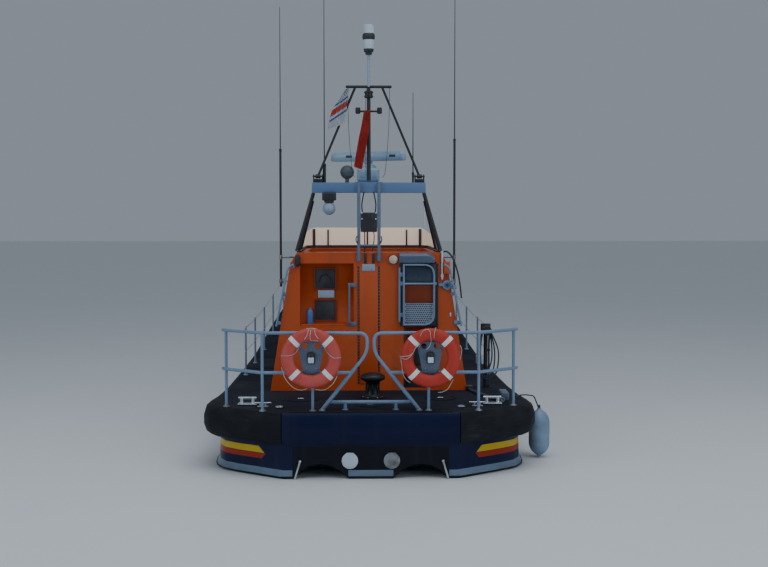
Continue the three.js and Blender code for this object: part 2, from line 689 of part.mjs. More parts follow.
function makeArchLeg(side) {
  const { ahead, beamZ: [beamLow] } = ARCH;
  const { footX, topX, footZ, radius } = LEG;
  const standZ = footZ + PAD.thick / 2;
  const y = along(ahead);
  const main = rod(vec(side * footX, y, standZ), vec(side * topX, y, beamLow), radius, 10);
  const braceFoot = vec(side * BRACE.footX, along(ahead + BRACE.step), standZ);
  const brace = rod(braceFoot, vec(side * BRACE.topX, y, beamLow - BRACE.drop), BRACE.radius);
  const pads = [[LEG.padX, ahead], [BRACE.footX, ahead + BRACE.step]].map(([x, at]) => {
    const across = [side * x - PAD.half, side * x + PAD.half];
    return block(across, [at - PAD.deep, at + PAD.deep], [footZ + GAP, footZ + PAD.thick]);
  });
  const aboveX = [side * topX - BEYOND, side * topX + BEYOND];
  const above = block(aboveX, [ahead - BEYOND, ahead + BEYOND], [beamLow - GAP, beamLow + BEYOND]);
  return join(main, brace, ...pads).subtract(above).subtract(houseBody(-GAP));
}

const RADAR = { ahead: 2850, gearZ: [3884, 4156], gearHalf: 170 };
const SCANNER = { z: [4172, 4345], half: 610, deep: 60, turn: THREE.MathUtils.degToRad(-25) };
const SHELF = { half: 200, past: 200, thick: 24, webX: 160, webThick: 12 };
const LUG = { x: 730, gap: 62, thick: 16, deep: 45, rise: 28, pin: 12, hole: 15 };
const MAST_PIVOT_Z = 3950;

// A round bar along X about the mast's pivot.
function pivotRod(from, to, radius, sides = 10) {
  const [start, end] = [from, to].map((x) => vec(x, along(ARCH.ahead), MAST_PIVOT_Z));
  return rod(start, end, radius, sides);
}

function makeArchBeam() {
  const { ahead, beamHalf, beamZ: [low, high], beamDepth } = ARCH;
  const { half, past, thick, webX, webThick } = SHELF;
  const beam = block([-beamHalf, beamHalf], [ahead - beamDepth, ahead + beamDepth], [low, high]);
  const shelf = block([-half, half], [ahead, RADAR.ahead + past], [high - thick / 2, high + thick / 2]);
  const gusset = [[ahead, low + 10], [ahead, high], [RADAR.ahead + past - 20, high]];
  const webs = [-webX, webX].map((x) => plateAlong(gusset, x - webThick / 2, x + webThick / 2));
  const lugs = [-LUG.x, LUG.x].flatMap((x) => [x - LUG.gap, x + LUG.gap]).map((x) => {
    const across = [x - LUG.thick / 2, x + LUG.thick / 2];
    return block(across, [ahead - LUG.deep, ahead + LUG.deep], [high - 5, MAST_PIVOT_Z + LUG.rise]);
  });
  return join(beam, shelf, ...webs, ...lugs).subtract(pivotRod(-beamHalf, beamHalf, LUG.hole));
}

const POSTS = { x: 145, ahead: 1916, radius: 24, z: [2727, 3862], barZ: [2960, 3400], bar: 14 };
const POST_LINK = { half: 34, z: [3735, 3835], wallZ: [2760, 2820] };
const LAMP_BOX = { half: 118, ahead: [1900, 2010], z: [3150, 3430] };

function makeArchPosts() {
  const { x, ahead, radius, z: [foot, top], barZ, bar } = POSTS;
  const y = along(ahead);
  const posts = [-x, x].map((at) => rod(vec(at, y, foot), vec(at, y, top), radius, 12));
  const beamFace = ARCH.ahead - ARCH.beamDepth - GAP;
  const links = [-x, x].flatMap((at) => {
    const across = [at - POST_LINK.half, at + POST_LINK.half];
    const toBeam = block(across, [ahead, beamFace], POST_LINK.z);
    const toWall = block(across, [ahead, HOUSE_AFT - GAP], POST_LINK.wallZ);
    return [toBeam, toWall];
  });
  const box = block([-LAMP_BOX.half, LAMP_BOX.half], LAMP_BOX.ahead, LAMP_BOX.z);
  const bars = barZ.map((z) => rod(vec(-x, y, z), vec(x, y, z), bar));
  return join(...posts, ...links, box, ...bars).subtract(houseBody(-GAP));
}

// Folding mast: a pole and two struts that turn about the lugs on the beam.
const MAST = { foot: 60, armZ: 5230, armHalf: 310, arm: 20, poleTop: 5685 };
const STRUT = { topX: 190, radius: 17, eye: 36, eyeRadius: 30 };
const LAMPS = { x: 155, z: [4845, 4935], armZ: 4880, radius: 36, headZ: [5070, 5170], headRadius: 66 };

function makeMast() {
  const { foot, armZ, armHalf, arm, poleTop } = MAST;
  const at = (x, z) => vec(x, along(ARCH.ahead), z);
  const parts = [
    rod(at(0, MAST_PIVOT_Z - foot), at(0, armZ), 30, 12, 26),
    rod(at(0, armZ - 5), at(0, poleTop), 23, 12, 19),
    rod(at(-armHalf, armZ), at(armHalf, armZ), arm),
    rod(at(-LAMPS.x, LAMPS.armZ), at(LAMPS.x, LAMPS.armZ), 14),
    rod(at(0, LAMPS.headZ[0]), at(0, LAMPS.headZ[1]), LAMPS.headRadius, 12),
  ];
  for (const [, side] of SIDES) {
    const [x, reach] = [side * LUG.x, LUG.gap + LUG.thick];
    parts.push(
      rod(at(x, MAST_PIVOT_Z), at(side * STRUT.topX, armZ), STRUT.radius),
      pivotRod(x - STRUT.eye, x + STRUT.eye, STRUT.eyeRadius),
      pivotRod(x - reach, x + reach, LUG.pin, 8),
      rod(at(side * LAMPS.x, LAMPS.z[0]), at(side * LAMPS.x, LAMPS.z[1]), LAMPS.radius, 10),
    );
  }
  return join(...parts);
}

const ANTENNA_PROFILE = [[0, 0], [55, 0], [80, 45], [88, 75], [88, 400], [72, 425], [0, 430]];

function makeMastheadAntenna() {
  return turned(ANTENNA_PROFILE, 0, ARCH.ahead, MAST.poleTop + GAP, 14);
}

const GEARBOX = { feetX: 130, footHalf: 25, footDeep: 120, ahead: [-190, 160], neckHigh: 60, neckRadius: 90 };

function makeRadarGearbox() {
  const { ahead, gearHalf, gearZ: [low, high] } = RADAR;
  const { feetX, footHalf, footDeep, neckHigh, neckRadius } = GEARBOX;
  const shelfTop = ARCH.beamZ[1] + SHELF.thick / 2 + GAP;
  const feet = [-feetX, feetX].map((x) => {
    return block([x - footHalf, x + footHalf], [ahead - footDeep, ahead + footDeep], [shelfTop, low + 10]);
  });
  const bodyAhead = GEARBOX.ahead.map((step) => ahead + step);
  const body = block([-gearHalf, gearHalf], bodyAhead, [low, high - neckHigh]);
  const neck = rod(vec(0, along(ahead), high - neckHigh - 10), vec(0, along(ahead), high), neckRadius, 16);
  return join(...feet, body, neck);
}

const BOSS = { low: -6, high: 40, radius: 70, under: 30 };

function makeRadarBar() {
  const { z: [low, high], half, deep, turn } = SCANNER;
  const { ahead } = RADAR;
  const geometry = new THREE.BoxGeometry(half * 2, deep * 2, high - low - BOSS.under);
  geometry.rotateZ(turn);
  geometry.translate(0, along(ahead), (low + BOSS.under + high) / 2);
  const bar = solidFrom(geometry);
  const [start, end] = [BOSS.low, BOSS.high].map((rise) => vec(0, along(ahead), low + rise));
  const boss = rod(start, end, BOSS.radius, 16);
  return join(bar, boss);
}

const DOME_X = -311;
const DOME_PROFILE = [
  [0, 0], [30, 0], [30, 50], [62, 62], [90, 95], [101, 148], [90, 200], [58, 236], [0, 250],
];

function makeDome() {
  return turned(DOME_PROFILE, DOME_X, ARCH.ahead + 10, ARCH.beamZ[1] + GAP, 14);
}

// Whips. Columns: name, x, distance ahead, z of the foot and of the top, radius and top z of the thick part.
const WHIP_TABLE = [
  ['whip_port', -1290, 2400, 2340, 6420, 17, 4350],
  ['whip_starboard', 1265, 2400, 2340, 7000, 17, 4500],
  ['arch_whip_port', -640, ARCH.ahead + 62, ARCH.beamZ[1] + GAP, 6880, 24, 4120],
  ['arch_whip_starboard', 640, ARCH.ahead + 62, ARCH.beamZ[1] + GAP, 5160, 14, 4000],
];

const WHIP_TIP = { radius: 9, end: 4 };
const WHIP_ARMS = { z: [2775, 2420], inX: 1000, radius: 14 };

function makeWhip([, x, ahead, low, high, radius, thickTop]) {
  const y = along(ahead);
  const foot = rod(vec(x, y, low), vec(x, y, thickTop), radius, 8);
  const tip = rod(vec(x, y, thickTop - 10), vec(x, y, high), WHIP_TIP.radius, 6, WHIP_TIP.end);
  const armsZ = low < LEG.footZ ? WHIP_ARMS.z : [];
  const arms = armsZ.map((z) => rod(vec(x, y, z), vec(Math.sign(x) * WHIP_ARMS.inX, y, z), WHIP_ARMS.radius));
  return join(foot, tip, ...arms).subtract(houseBody(-GAP));
}

// Flags as thin soft panels that ride on the mast.
const FLAG_THICK = 10;
const FLAG_AHEAD = ARCH.ahead - 60;
const ENSIGN_OUTLINE = [[25, 4900], [5, 4400], [-100, 4040], [-215, 4080], [-170, 4500], [-90, 4880]];
const SIGNAL_OUTLINE = [[-285, 5200], [-330, 4700], [-590, 4620], [-520, 4900], [-330, 5190]];

function makeFlag(outline) {
  const shape = new THREE.Shape(outline.map(([x, z]) => new THREE.Vector2(x, z)));
  return plateAcross(shape, FLAG_AHEAD - FLAG_THICK, FLAG_AHEAD);
}

// Deck gear. Rail points are pairs of x and distance ahead of the transom.
const RAIL = { tube: 22, topZ: 1875, midZ: 1360, slantZ: 1620, footRadius: 46, footThick: 14 };
const RAIL_AT = {
  end: [1950, 600], corner: [1905, 540], quarter: [1400, 140], post: [750, 120],
  inner: [45, 100], innerMid: [255, 120], slantFoot: [630, 160],
};

function makeSternRail(side) {
  const { tube, topZ, midZ, slantZ, footRadius, footThick } = RAIL;
  const { end, corner, quarter, post, inner, innerMid, slantFoot } = RAIL_AT;
  const at = ([x, ahead], z) => vec(side * x, along(ahead), z);
  const foot = DECK_Z + GAP;
  const top = [end, corner, quarter, inner].map((place) => at(place, topZ));
  const slant = [at(inner, slantZ), at(slantFoot, foot + 10)];
  const mid = [end, corner, quarter, innerMid].map((place) => at(place, midZ));
  const posts = [corner, quarter, post].map((place) => rod(at(place, foot), at(place, topZ), tube * 0.9));
  const feet = [corner, quarter, post, slantFoot].map((place) => {
    return rod(at(place, foot), at(place, foot + footThick), footRadius, 10);
  });
  return onDeck(join(bentTube([...top, ...slant], tube, 110), bentTube(mid, tube, 60), ...posts, ...feet));
}

const LOW_BAR = { half: 540, ahead: 230, z: 960, radius: 26, legX: 330, legRadius: 24 };

function makeLowBar() {
  const { half, ahead, z, radius, legX, legRadius } = LOW_BAR;
  const y = along(ahead);
  const bar = rod(vec(-half, y, z), vec(half, y, z), radius, 10);
  return join(bar, ...[-legX, legX].map((x) => rod(vec(x, y, DECK_Z + GAP), vec(x, y, z), legRadius)));
}

// Side rails. Columns: distance ahead of each stanchion, its height above the deck.
const STANCHIONS = [
  [3650, 770], [5160, 780], [6800, 790], [8200, 780], [9500, 770], [10700, 760], [11800, 750], [12700, 740],
];

const STANCHION = { inside: 70, radius: 16, foot: 42, footThick: 16 };
const WIRES = { radius: 6, drop: 12, shares: [1, 0.52] };

function stanchionPoint(side, ahead, height) {
  const [, , , edgeX, edgeZ] = hullAt(ahead);
  return vec(side * (edgeX - STANCHION.inside), along(ahead), edgeZ + height);
}

function makeSideRail(side) {
  const { radius, foot, footThick } = STANCHION;
  const upright = (ahead, height, thick) => {
    return rod(stanchionPoint(side, ahead, 0), stanchionPoint(side, ahead, height), thick, 6);
  };
  const posts = STANCHIONS.map(([ahead, height]) => upright(ahead, height, radius));
  const feet = STANCHIONS.map(([ahead]) => upright(ahead, footThick, foot));
  const wires = WIRES.shares.flatMap((share) => {
    const ends = STANCHIONS.map(([ahead, height]) => {
      return stanchionPoint(side, ahead, height * share - WIRES.drop);
    });
    return ends.slice(1).map((end, i) => rod(ends[i], end, WIRES.radius, 4));
  });
  return onDeck(join(...posts, ...feet, ...wires));
}

const BOW_RAIL = { ahead: [12900, 13450, 13850], inside: 60, height: 760, radius: 20, post: 18, bend: 90 };

function makeBowRail() {
  const { inside, height, radius, post, bend } = BOW_RAIL;
  const half = BOW_RAIL.ahead.map((ahead) => [ahead, hullAt(ahead)[3] - inside, hullAt(ahead)[4]]);
  const at = (side, [ahead, x, z], rise) => vec(side * x, along(ahead), z + rise);
  const starboard = half.map((place) => at(1, place, height));
  const port = half.map((place) => at(-1, place, height)).reverse();
  const posts = half.slice(0, 2).flatMap((place) => [-1, 1].map((side) => {
    return rod(at(side, place, 0), at(side, place, height), post);
  }));
  return onDeck(join(bentTube([...starboard, ...port], radius, bend), ...posts));
}

// Lifebuoys with the brackets that hold them inside the stern rails
const BUOY = { x: 765, ahead: -6, z: 1565, ring: 302, tube: 82, squash: 0.6, sections: 24, sides: 10 };

function makeLifebuoy(side) {
  const { x, ahead, z, ring, tube, squash, sections, sides } = BUOY;
  const section = Array.from({ length: sides + 1 }, (_, i) => {
    const turn = ((i % sides) / sides) * Math.PI * 2;
    return new THREE.Vector2(ring + Math.cos(turn) * tube, Math.sin(turn) * tube * squash);
  });
  const geometry = new THREE.LatheGeometry(section, sections);
  geometry.translate(side * x, along(ahead), z);
  return solidFrom(geometry);
}

// Bracket plate in x and z from the bracket's middle, and its parts in distance ahead of the transom.
const BRACKET_OUTLINE = [[-172, 190], [-145, 222], [145, 222], [172, 190], [99, -190], [-99, -190]];
const BRACKET = {
  z: 1545, plateAhead: [50, 62], lampZ: [-54, 97], lampRadius: 52, stemHalf: 20, stemZ: [0, 30],
};
const HOLDER = { x: 750, half: 16, ahead: [56, 99], rises: [-100, 100] };

function makeBuoyBracket(side) {
  const { x: buoyX } = BUOY;
  const { z: middle, plateAhead, lampZ, lampRadius, stemHalf, stemZ } = BRACKET;
  const x = side * buoyX;
  const plate = new THREE.Shape(BRACKET_OUTLINE.map(([dx, dz]) => new THREE.Vector2(x + dx, middle + dz)));
  const lampEnds = lampZ.map((rise) => vec(x, along(0), middle + rise));
  const stem = block([x - stemHalf, x + stemHalf], [0, plateAhead[1]], stemZ.map((rise) => middle + rise));
  const { half, ahead, rises } = HOLDER;
  const holders = rises.map((rise) => {
    const across = [side * HOLDER.x - half, side * HOLDER.x + half];
    return block(across, ahead, [middle + rise - half, middle + rise + half]);
  });
  return join(plateAcross(plate, ...plateAhead), rod(...lampEnds, lampRadius, 10), stem, ...holders);
}

const CAPSTAN = { x: 40, ahead: 1140 };
const CAPSTAN_PROFILE = [
  [0, 0], [150, 0], [150, 30], [95, 60], [85, 200], [110, 250], [170, 280], [170, 320], [120, 355], [0, 370],
];

function makeCapstan() {
  return turned(CAPSTAN_PROFILE, CAPSTAN.x, CAPSTAN.ahead, DECK_Z + GAP, 18);
}

const FAIRLEAD = { x: 1640, ahead: 680, half: 130, deep: 60, base: 22 };
const HORN = { x: 75, top: 105, radius: 24, barZ: 92, bar: 17 };

function makeFairlead(side) {
  const { ahead, half, deep, base } = FAIRLEAD;
  const x = side * FAIRLEAD.x;
  const at = (dx, rise) => vec(x + dx, along(ahead), DECK_Z + rise);
  const plate = block([x - half, x + half], [ahead - deep, ahead + deep], [DECK_Z + GAP, DECK_Z + base]);
  const horns = [-HORN.x, HORN.x].map((dx) => rod(at(dx, base / 2), at(dx, HORN.top), HORN.radius));
  return join(plate, ...horns, rod(at(5 - half, HORN.barZ), at(half - 5, HORN.barZ), HORN.bar));
}

const GRAB = { ahead: HOUSE_AFT - 70, tube: 15, bend: 60, post: 12, postIn: 30 };
const GRAB_POINTS = [[1075, 2690], [1160, 2640], [1230, 2300], [1330, 1800]];
const GRAB_POSTS = [[1120, 2662], [1238, 2260], [1322, 1840]];

function makeGrabRail(side) {
  const { ahead, tube, bend, post, postIn } = GRAB;
  const at = ([x, z]) => vec(side * x, along(ahead), z);
  const posts = GRAB_POSTS.map(([x, z]) => {
    return rod(at([x, z]), vec(side * (x - postIn), along(HOUSE_AFT - GAP), z), post, 6);
  });
  return join(bentTube(GRAB_POINTS.map(at), tube, bend), ...posts).subtract(houseBody(-GAP));
}

const HANG = { x: 2380, ahead: 1350, z: [15, 690], radius: 145, neck: 28, shoulder: 56 };
const HANG_ROPE = { points: [[2300, 1330, 870], [2160, 1280, 892], [1975, 1150, 888]], bend: 45, radius: 9 };

function makeHangingFender() {
  const { x, ahead, z: [low, high], radius, neck, shoulder } = HANG;
  const end = [[0, 0], [neck, 0], [shoulder, 40], [radius * 0.82, 110], [radius, 200]];
  const profile = [...end, ...end.map(([r, h]) => [r, high - low - h]).reverse()];
  const route = HANG_ROPE.points.map(([rx, rAhead, rz]) => vec(rx, along(rAhead), rz));
  const rope = bentTube([vec(x, along(ahead), high - 20), ...route], HANG_ROPE.radius, HANG_ROPE.bend);
  return join(turned(profile, x, ahead, low, 14), rope);
}

// Colours as seen on the boat: colour, roughness, metalness.
const FINISH = {
  navy: [0x131b3c, 0.35, 0],
  orange: [0xd24a17, 0.45, 0],
  rubber: [0x16171a, 0.8, 0],
  deck: [0x3c434f, 0.85, 0],
  grey: [0x7f8b9c, 0.4, 0.1],
  black: [0x0e0f12, 0.5, 0],
  white: [0xd8dade, 0.4, 0],
  bronze: [0x8a6a3a, 0.35, 0.9],
  steel: [0x9aa3ad, 0.3, 0.8],
  glass: [0x20262c, 0.08, 0],
  cream: [0xcfc6b4, 0.2, 0],
  maroon: [0x3a1712, 0.5, 0],
  red: [0xb0271c, 0.8, 0],
  engine: [0x8b9298, 0.5, 0.3],
};

const boat = new THREE.Group();

function piece(name, solid, finish) {
  const [color, roughness, metalness] = FINISH[finish];
  const material = new THREE.MeshStandardMaterial({ color, roughness, metalness });
  const mesh = new THREE.Mesh(geometryFrom(solid), material);
  mesh.name = name;
  boat.add(mesh);
}

piece('hull', makeHull(), 'navy');
piece('deck', makeDeck(), 'deck');
piece('transom_panel', makeTransomPanel(), 'navy');
for (const [name, side] of SIDES) {
  piece(`belting_${name}`, makeBelting(side), 'rubber');
  piece(`exhaust_${name}`, makeExhaust(side), 'white');
  piece(`engine_${name}`, makeEngine(side), 'engine');
  piece(`propeller_${name}`, makePropeller(side), 'bronze');
  piece(`shaft_bracket_${name}`, makeShaftBracket(side), 'bronze');
  piece(`rudder_${name}`, makeRudder(side), 'bronze');
}
piece('deckhouse', makeDeckhouse(), 'orange');
piece('front_glass', makeFrontGlass(), 'glass');
piece('cabin_console', makeCabinConsole(), 'black');
piece('aft_gate', makeGate(), 'grey');
piece('companion_door', makeCompanionDoor(), 'orange');
piece('forward_hatch', makeForwardHatch(), 'grey');
piece('screen_base', makeScreenBase(), 'maroon');
piece('upper_screen', makeScreen(), 'cream');
piece('upper_console', makeUpperConsole(), 'black');
piece('arch_beam', makeArchBeam(), 'grey');
piece('arch_posts', makeArchPosts(), 'grey');
piece('mast', makeMast(), 'black');
piece('masthead_antenna', makeMastheadAntenna(), 'white');
piece('radar_gearbox', makeRadarGearbox(), 'grey');
piece('radar_bar', makeRadarBar(), 'white');
piece('arch_dome', makeDome(), 'grey');
piece('ensign', makeFlag(ENSIGN_OUTLINE), 'red');
piece('signal_flag', makeFlag(SIGNAL_OUTLINE), 'white');
piece('low_bar', makeLowBar(), 'grey');
piece('bow_rail', makeBowRail(), 'grey');
piece('capstan', makeCapstan(), 'black');
piece('hanging_fender', makeHangingFender(), 'white');
for (const row of WHIP_TABLE) {
  piece(row[0], makeWhip(row), 'black');
}
for (const [name, side] of SIDES) {
  piece(`side_glass_${name}`, makeSideGlass(side), 'glass');
  piece(`seat_${name}`, makeSeat(side), 'black');
  piece(`arch_leg_${name}`, makeArchLeg(side), 'black');
  piece(`stern_rail_${name}`, makeSternRail(side), 'grey');
  piece(`side_rail_${name}`, makeSideRail(side), 'grey');
  piece(`lifebuoy_${name}`, makeLifebuoy(side), 'orange');
  piece(`buoy_bracket_${name}`, makeBuoyBracket(side), 'grey');
  piece(`fairlead_${name}`, makeFairlead(side), 'steel');
  piece(`grab_rail_${name}`, makeGrabRail(side), 'grey');
}

export default boat;
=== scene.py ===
"""The looks of a 14 m twin-screw lifeboat afloat, seen from astern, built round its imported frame."""

import logging
import math
from dataclasses import dataclass
from enum import Enum
from typing import Callable, Iterable, Sequence

import bmesh
import bpy
from mathutils import Matrix, Vector


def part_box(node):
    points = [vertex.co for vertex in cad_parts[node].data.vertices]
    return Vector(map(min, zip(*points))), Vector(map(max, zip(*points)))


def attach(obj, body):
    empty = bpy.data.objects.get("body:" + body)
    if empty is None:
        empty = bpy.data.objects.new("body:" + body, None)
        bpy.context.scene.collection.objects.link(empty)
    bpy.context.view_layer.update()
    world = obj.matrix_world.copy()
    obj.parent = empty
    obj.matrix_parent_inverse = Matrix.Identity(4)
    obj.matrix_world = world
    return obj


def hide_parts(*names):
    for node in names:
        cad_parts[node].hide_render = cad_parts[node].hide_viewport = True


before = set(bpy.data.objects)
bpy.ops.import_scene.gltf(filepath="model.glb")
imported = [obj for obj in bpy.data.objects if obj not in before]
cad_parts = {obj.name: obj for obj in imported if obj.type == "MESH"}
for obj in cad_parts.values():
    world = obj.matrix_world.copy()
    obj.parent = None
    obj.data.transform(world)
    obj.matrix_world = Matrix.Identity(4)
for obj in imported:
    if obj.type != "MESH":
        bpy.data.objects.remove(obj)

LOG = logging.getLogger("lifeboat")
Point = tuple[float, float, float]
Colour = tuple[float, float, float]
Place = Sequence[float]
Outline = Sequence[tuple[float, float]]
Plane = Callable[[float, float, float], Point]

HULL_LENGTH = 14.26
TRANSOM_Y = -HULL_LENGTH / 2 + 0.1
DECK_Z = 0.86
HOUSE_AFT = TRANSOM_Y + 1.95
MAST_Y = TRANSOM_Y + 2.05
BEAM_TOP = 3.86
PIVOT_Z = 3.95
LUG_X = 0.73
POST_X = 0.145
QUARTER_POST = (1.72, TRANSOM_Y + 2.25)
DRUM_Z = 1.71
ROPE_FOOT = 0.05
# The distance that keeps a fitting clear of the surface under it
GAP = 0.0004
SIGNS = (-1, 1)
UP, AFT, FORWARD = (0, 0, 1), (0, -1, 0), (0, 1, 0)


class Body(Enum):
    """The bodies of the frame that pieces ride on."""

    BOAT = "boat"
    MAST = "folding_mast"
    RADAR = "radar_scanner"
    GATE = "gate"
    CABIN_DOOR = "cabin_door"
    HATCH = "hatch_lid"
    PORT_SCREW = "port_screw"
    STARBOARD_SCREW = "starboard_screw"
    PORT_RUDDER = "port_rudder"
    STARBOARD_RUDDER = "starboard_rudder"


class Side(Enum):
    """The two sides of the boat, with the sign of X on each."""

    PORT = -1
    STARBOARD = 1

    @property
    def label(self) -> str:
        """The side's name as used in node names."""
        return self.name.lower()


def ahead(distance: float) -> float:
    """The Y of a distance forward of the transom, in metres."""
    return TRANSOM_Y + distance


def link(name: str, data: bpy.types.ID) -> bpy.types.Object:
    """A new object with the data, in the scene."""
    made = bpy.data.objects.new(name, data)
    bpy.context.scene.collection.objects.link(made)
    return made


# Nodes


class Wiring:
    """A node tree under construction."""

    def __init__(self, tree: bpy.types.NodeTree) -> None:
        """Takes the tree that it fills."""
        self.tree = tree

    def node(self, kind: str, inputs: dict | None = None, **settings: object) -> bpy.types.Node:
        """Adds a node, sets its settings and then its sockets.

        Args:
            kind: The node's type.
            inputs: Values, colours or links, by socket name or number.
            settings: Attributes of the node.

        Returns:
            The new node.
        """
        made = self.tree.nodes.new(kind)
        for key, value in settings.items():
            setattr(made, key, value)
        for key, value in (inputs or {}).items():
            self.feed(made.inputs[key], value)
        return made

    def feed(self, socket: bpy.types.NodeSocket, value: object) -> None:
        """Links or sets one socket.

        Args:
            socket: The input socket.
            value: A Value, an output socket, a colour or a plain value.
        """
        if isinstance(value, Value):
            value = value.socket
        if isinstance(value, bpy.types.NodeSocket):
            self.tree.links.new(value, socket)
        elif socket.type == "RGBA":
            socket.default_value = (*value, 1.0)
        else:
            socket.default_value = value


@dataclass(frozen=True)
class Value:
    """A number that leaves a shader node; arithmetic on it adds Math nodes.

    Args:
        graph: The material's graph.
        socket: The output socket that carries the number.
    """

    graph: "Graph"
    socket: bpy.types.NodeSocket

    def _math(self, operation: str, *terms: "Value | float", clamp: bool = False) -> "Value":
        """The result of one Math node over the given terms."""
        inputs = dict(enumerate(terms))
        node = self.graph.node("ShaderNodeMath", inputs, operation=operation, use_clamp=clamp)
        return Value(self.graph, node.outputs[0])

    def __add__(self, other: "Value | float") -> "Value":
        """self + other"""
        return self._math("ADD", self, other)

    __radd__ = __add__

    def __sub__(self, other: "Value | float") -> "Value":
        """self - other"""
        return self._math("SUBTRACT", self, other)

    def __rsub__(self, other: "Value | float") -> "Value":
        """other - self"""
        return self._math("SUBTRACT", other, self)

    def __mul__(self, other: "Value | float") -> "Value":
        """self * other"""
        return self._math("MULTIPLY", self, other)

    __rmul__ = __mul__

    def __abs__(self) -> "Value":
        """abs(self)"""
        return self._math("ABSOLUTE", self)

    def above(self, edge: float) -> "Value":
        """1 where the value is over the edge, else 0."""
        return self._math("GREATER_THAN", self, edge)

    def below(self, edge: "Value | float") -> "Value":
        """1 where the value is under the edge, else 0."""
        return self._math("LESS_THAN", self, edge)

    def most(self, other: "Value | float") -> "Value":
        """The larger of the two."""
        return self._math("MAXIMUM", self, other)

    def least(self, other: "Value") -> "Value":
        """The smaller of the two."""
        return self._math("MINIMUM", self, other)

    def wrapped(self, period: float) -> "Value":
        """The value folded into 0 to period."""
        return self._math("FLOORED_MODULO", self, period)

    def between(self, low: float, high: float) -> "Value":
        """1 where low < value < high, else 0."""
        return self.above(low) * self.below(high)

    def clamped(self) -> "Value":
        """The value held between 0 and 1."""
        return self._math("ADD", self, 0.0, clamp=True)

    def stretch(self, low: float, high: float, to_low: float = 0.0, to_high: float = 1.0) -> "Value":
        """Maps the range low to high onto to_low to to_high, clamped."""
        inputs = {"Value": self, "From Min": low, "From Max": high, "To Min": to_low, "To Max": to_high}
        return Value(self.graph, self.graph.node("ShaderNodeMapRange", inputs, clamp=True).outputs["Result"])


class Graph(Wiring):
    """A material under construction, with one Principled shader at its end and places in the boat's metres."""

    def __init__(self, name: str) -> None:
        """Makes the empty material.

        Args:
            name: The material's name.
        """
        self.material = bpy.data.materials.new(name)
        self.material.use_nodes = True
        super().__init__(self.material.node_tree)
        self.tree.nodes.clear()
        self.surface = self.node("ShaderNodeBsdfPrincipled")
        self.node("ShaderNodeOutputMaterial", {"Surface": self.surface.outputs["BSDF"]})
        self.place = self.node("ShaderNodeTexCoord").outputs["Object"]

    def axes(self, place: bpy.types.NodeSocket) -> list[Value]:
        """The three numbers of a place."""
        return [Value(self, part) for part in self.node("ShaderNodeSeparateXYZ", {0: place}).outputs]

    def noise(self, scale: float, detail: float = 3.0, stretch: Point = (1, 1, 1), rough: float = 0.5) -> Value:
        """Noise over the object's own metres.

        Args:
            scale: Features a metre.
            detail: Octaves.
            stretch: How much the pattern is squeezed along each axis.
            rough: Strength of the fine octaves.

        Returns:
            The noise, about 0.5 on average.
        """
        place = self.node("ShaderNodeMapping", {"Vector": self.place, "Scale": stretch}).outputs[0]
        inputs = {"Vector": place, "Scale": scale, "Detail": detail, "Roughness": rough}
        return Value(self, self.node("ShaderNodeTexNoise", inputs).outputs["Fac"])

    def cells(self, scale: float) -> Value:
        """Distance to the nearest of many scattered points, in cell sizes."""
        node = self.node("ShaderNodeTexVoronoi", {"Vector": self.place, "Scale": scale})
        return Value(self, node.outputs["Distance"])

    def blend(self, mask: Value, under: object, over: object) -> bpy.types.NodeSocket:
        """Mixes two colours by a mask.

        Args:
            mask: 0 shows under, 1 shows over.
            under: A colour or a colour socket.
            over: A colour or a colour socket.

        Returns:
            The mixed colour's socket.
        """
        node = self.node("ShaderNodeMix", {"Factor": mask}, data_type="RGBA")
        colours = [socket for socket in node.inputs if socket.type == "RGBA"]
        for socket, colour in zip(colours, (under, over)):
            self.feed(socket, colour)
        return next(socket for socket in node.outputs if socket.type == "RGBA")

    def shade(self, colour: object, rough: object, metal: float = 0.0, **sockets: object) -> None:
        """Sets the shader's main sockets.

        Args:
            colour: Base colour.
            rough: Roughness.
            metal: Metalness.
            sockets: Further sockets by name, with underscores for spaces.
        """
        for key, value in {"Base Color": colour, "Roughness": rough, "Metallic": metal, **sockets}.items():
            self.feed(self.surface.inputs[key.replace("_", " ")], value)

    def bump(self, height: Value, strength: float, distance: float) -> None:
        """Raises the surface by a height in the shading only."""
        inputs = {"Height": height, "Strength": strength, "Distance": distance}
        self.feed(self.surface.inputs["Normal"], self.node("ShaderNodeBump", inputs).outputs[0])


# Finishes


def scaled(colour: Colour, share: float, lift: float = 0.0) -> Colour:
    """A colour times a share, plus a lift."""
    return tuple(part * share + lift for part in colour)


@dataclass(frozen=True)
class Recipe:
    """How a material is made.

    Args:
        name: The material's name.
        colour: Its main colour.
    """

    name: str
    colour: Colour

    def build(self) -> bpy.types.Material:
        """Makes the material."""
        g = Graph(self.name)
        self.paint(g)
        return g.material

    def paint(self, g: Graph) -> None:
        """Lays the finish on an empty material."""
        raise NotImplementedError


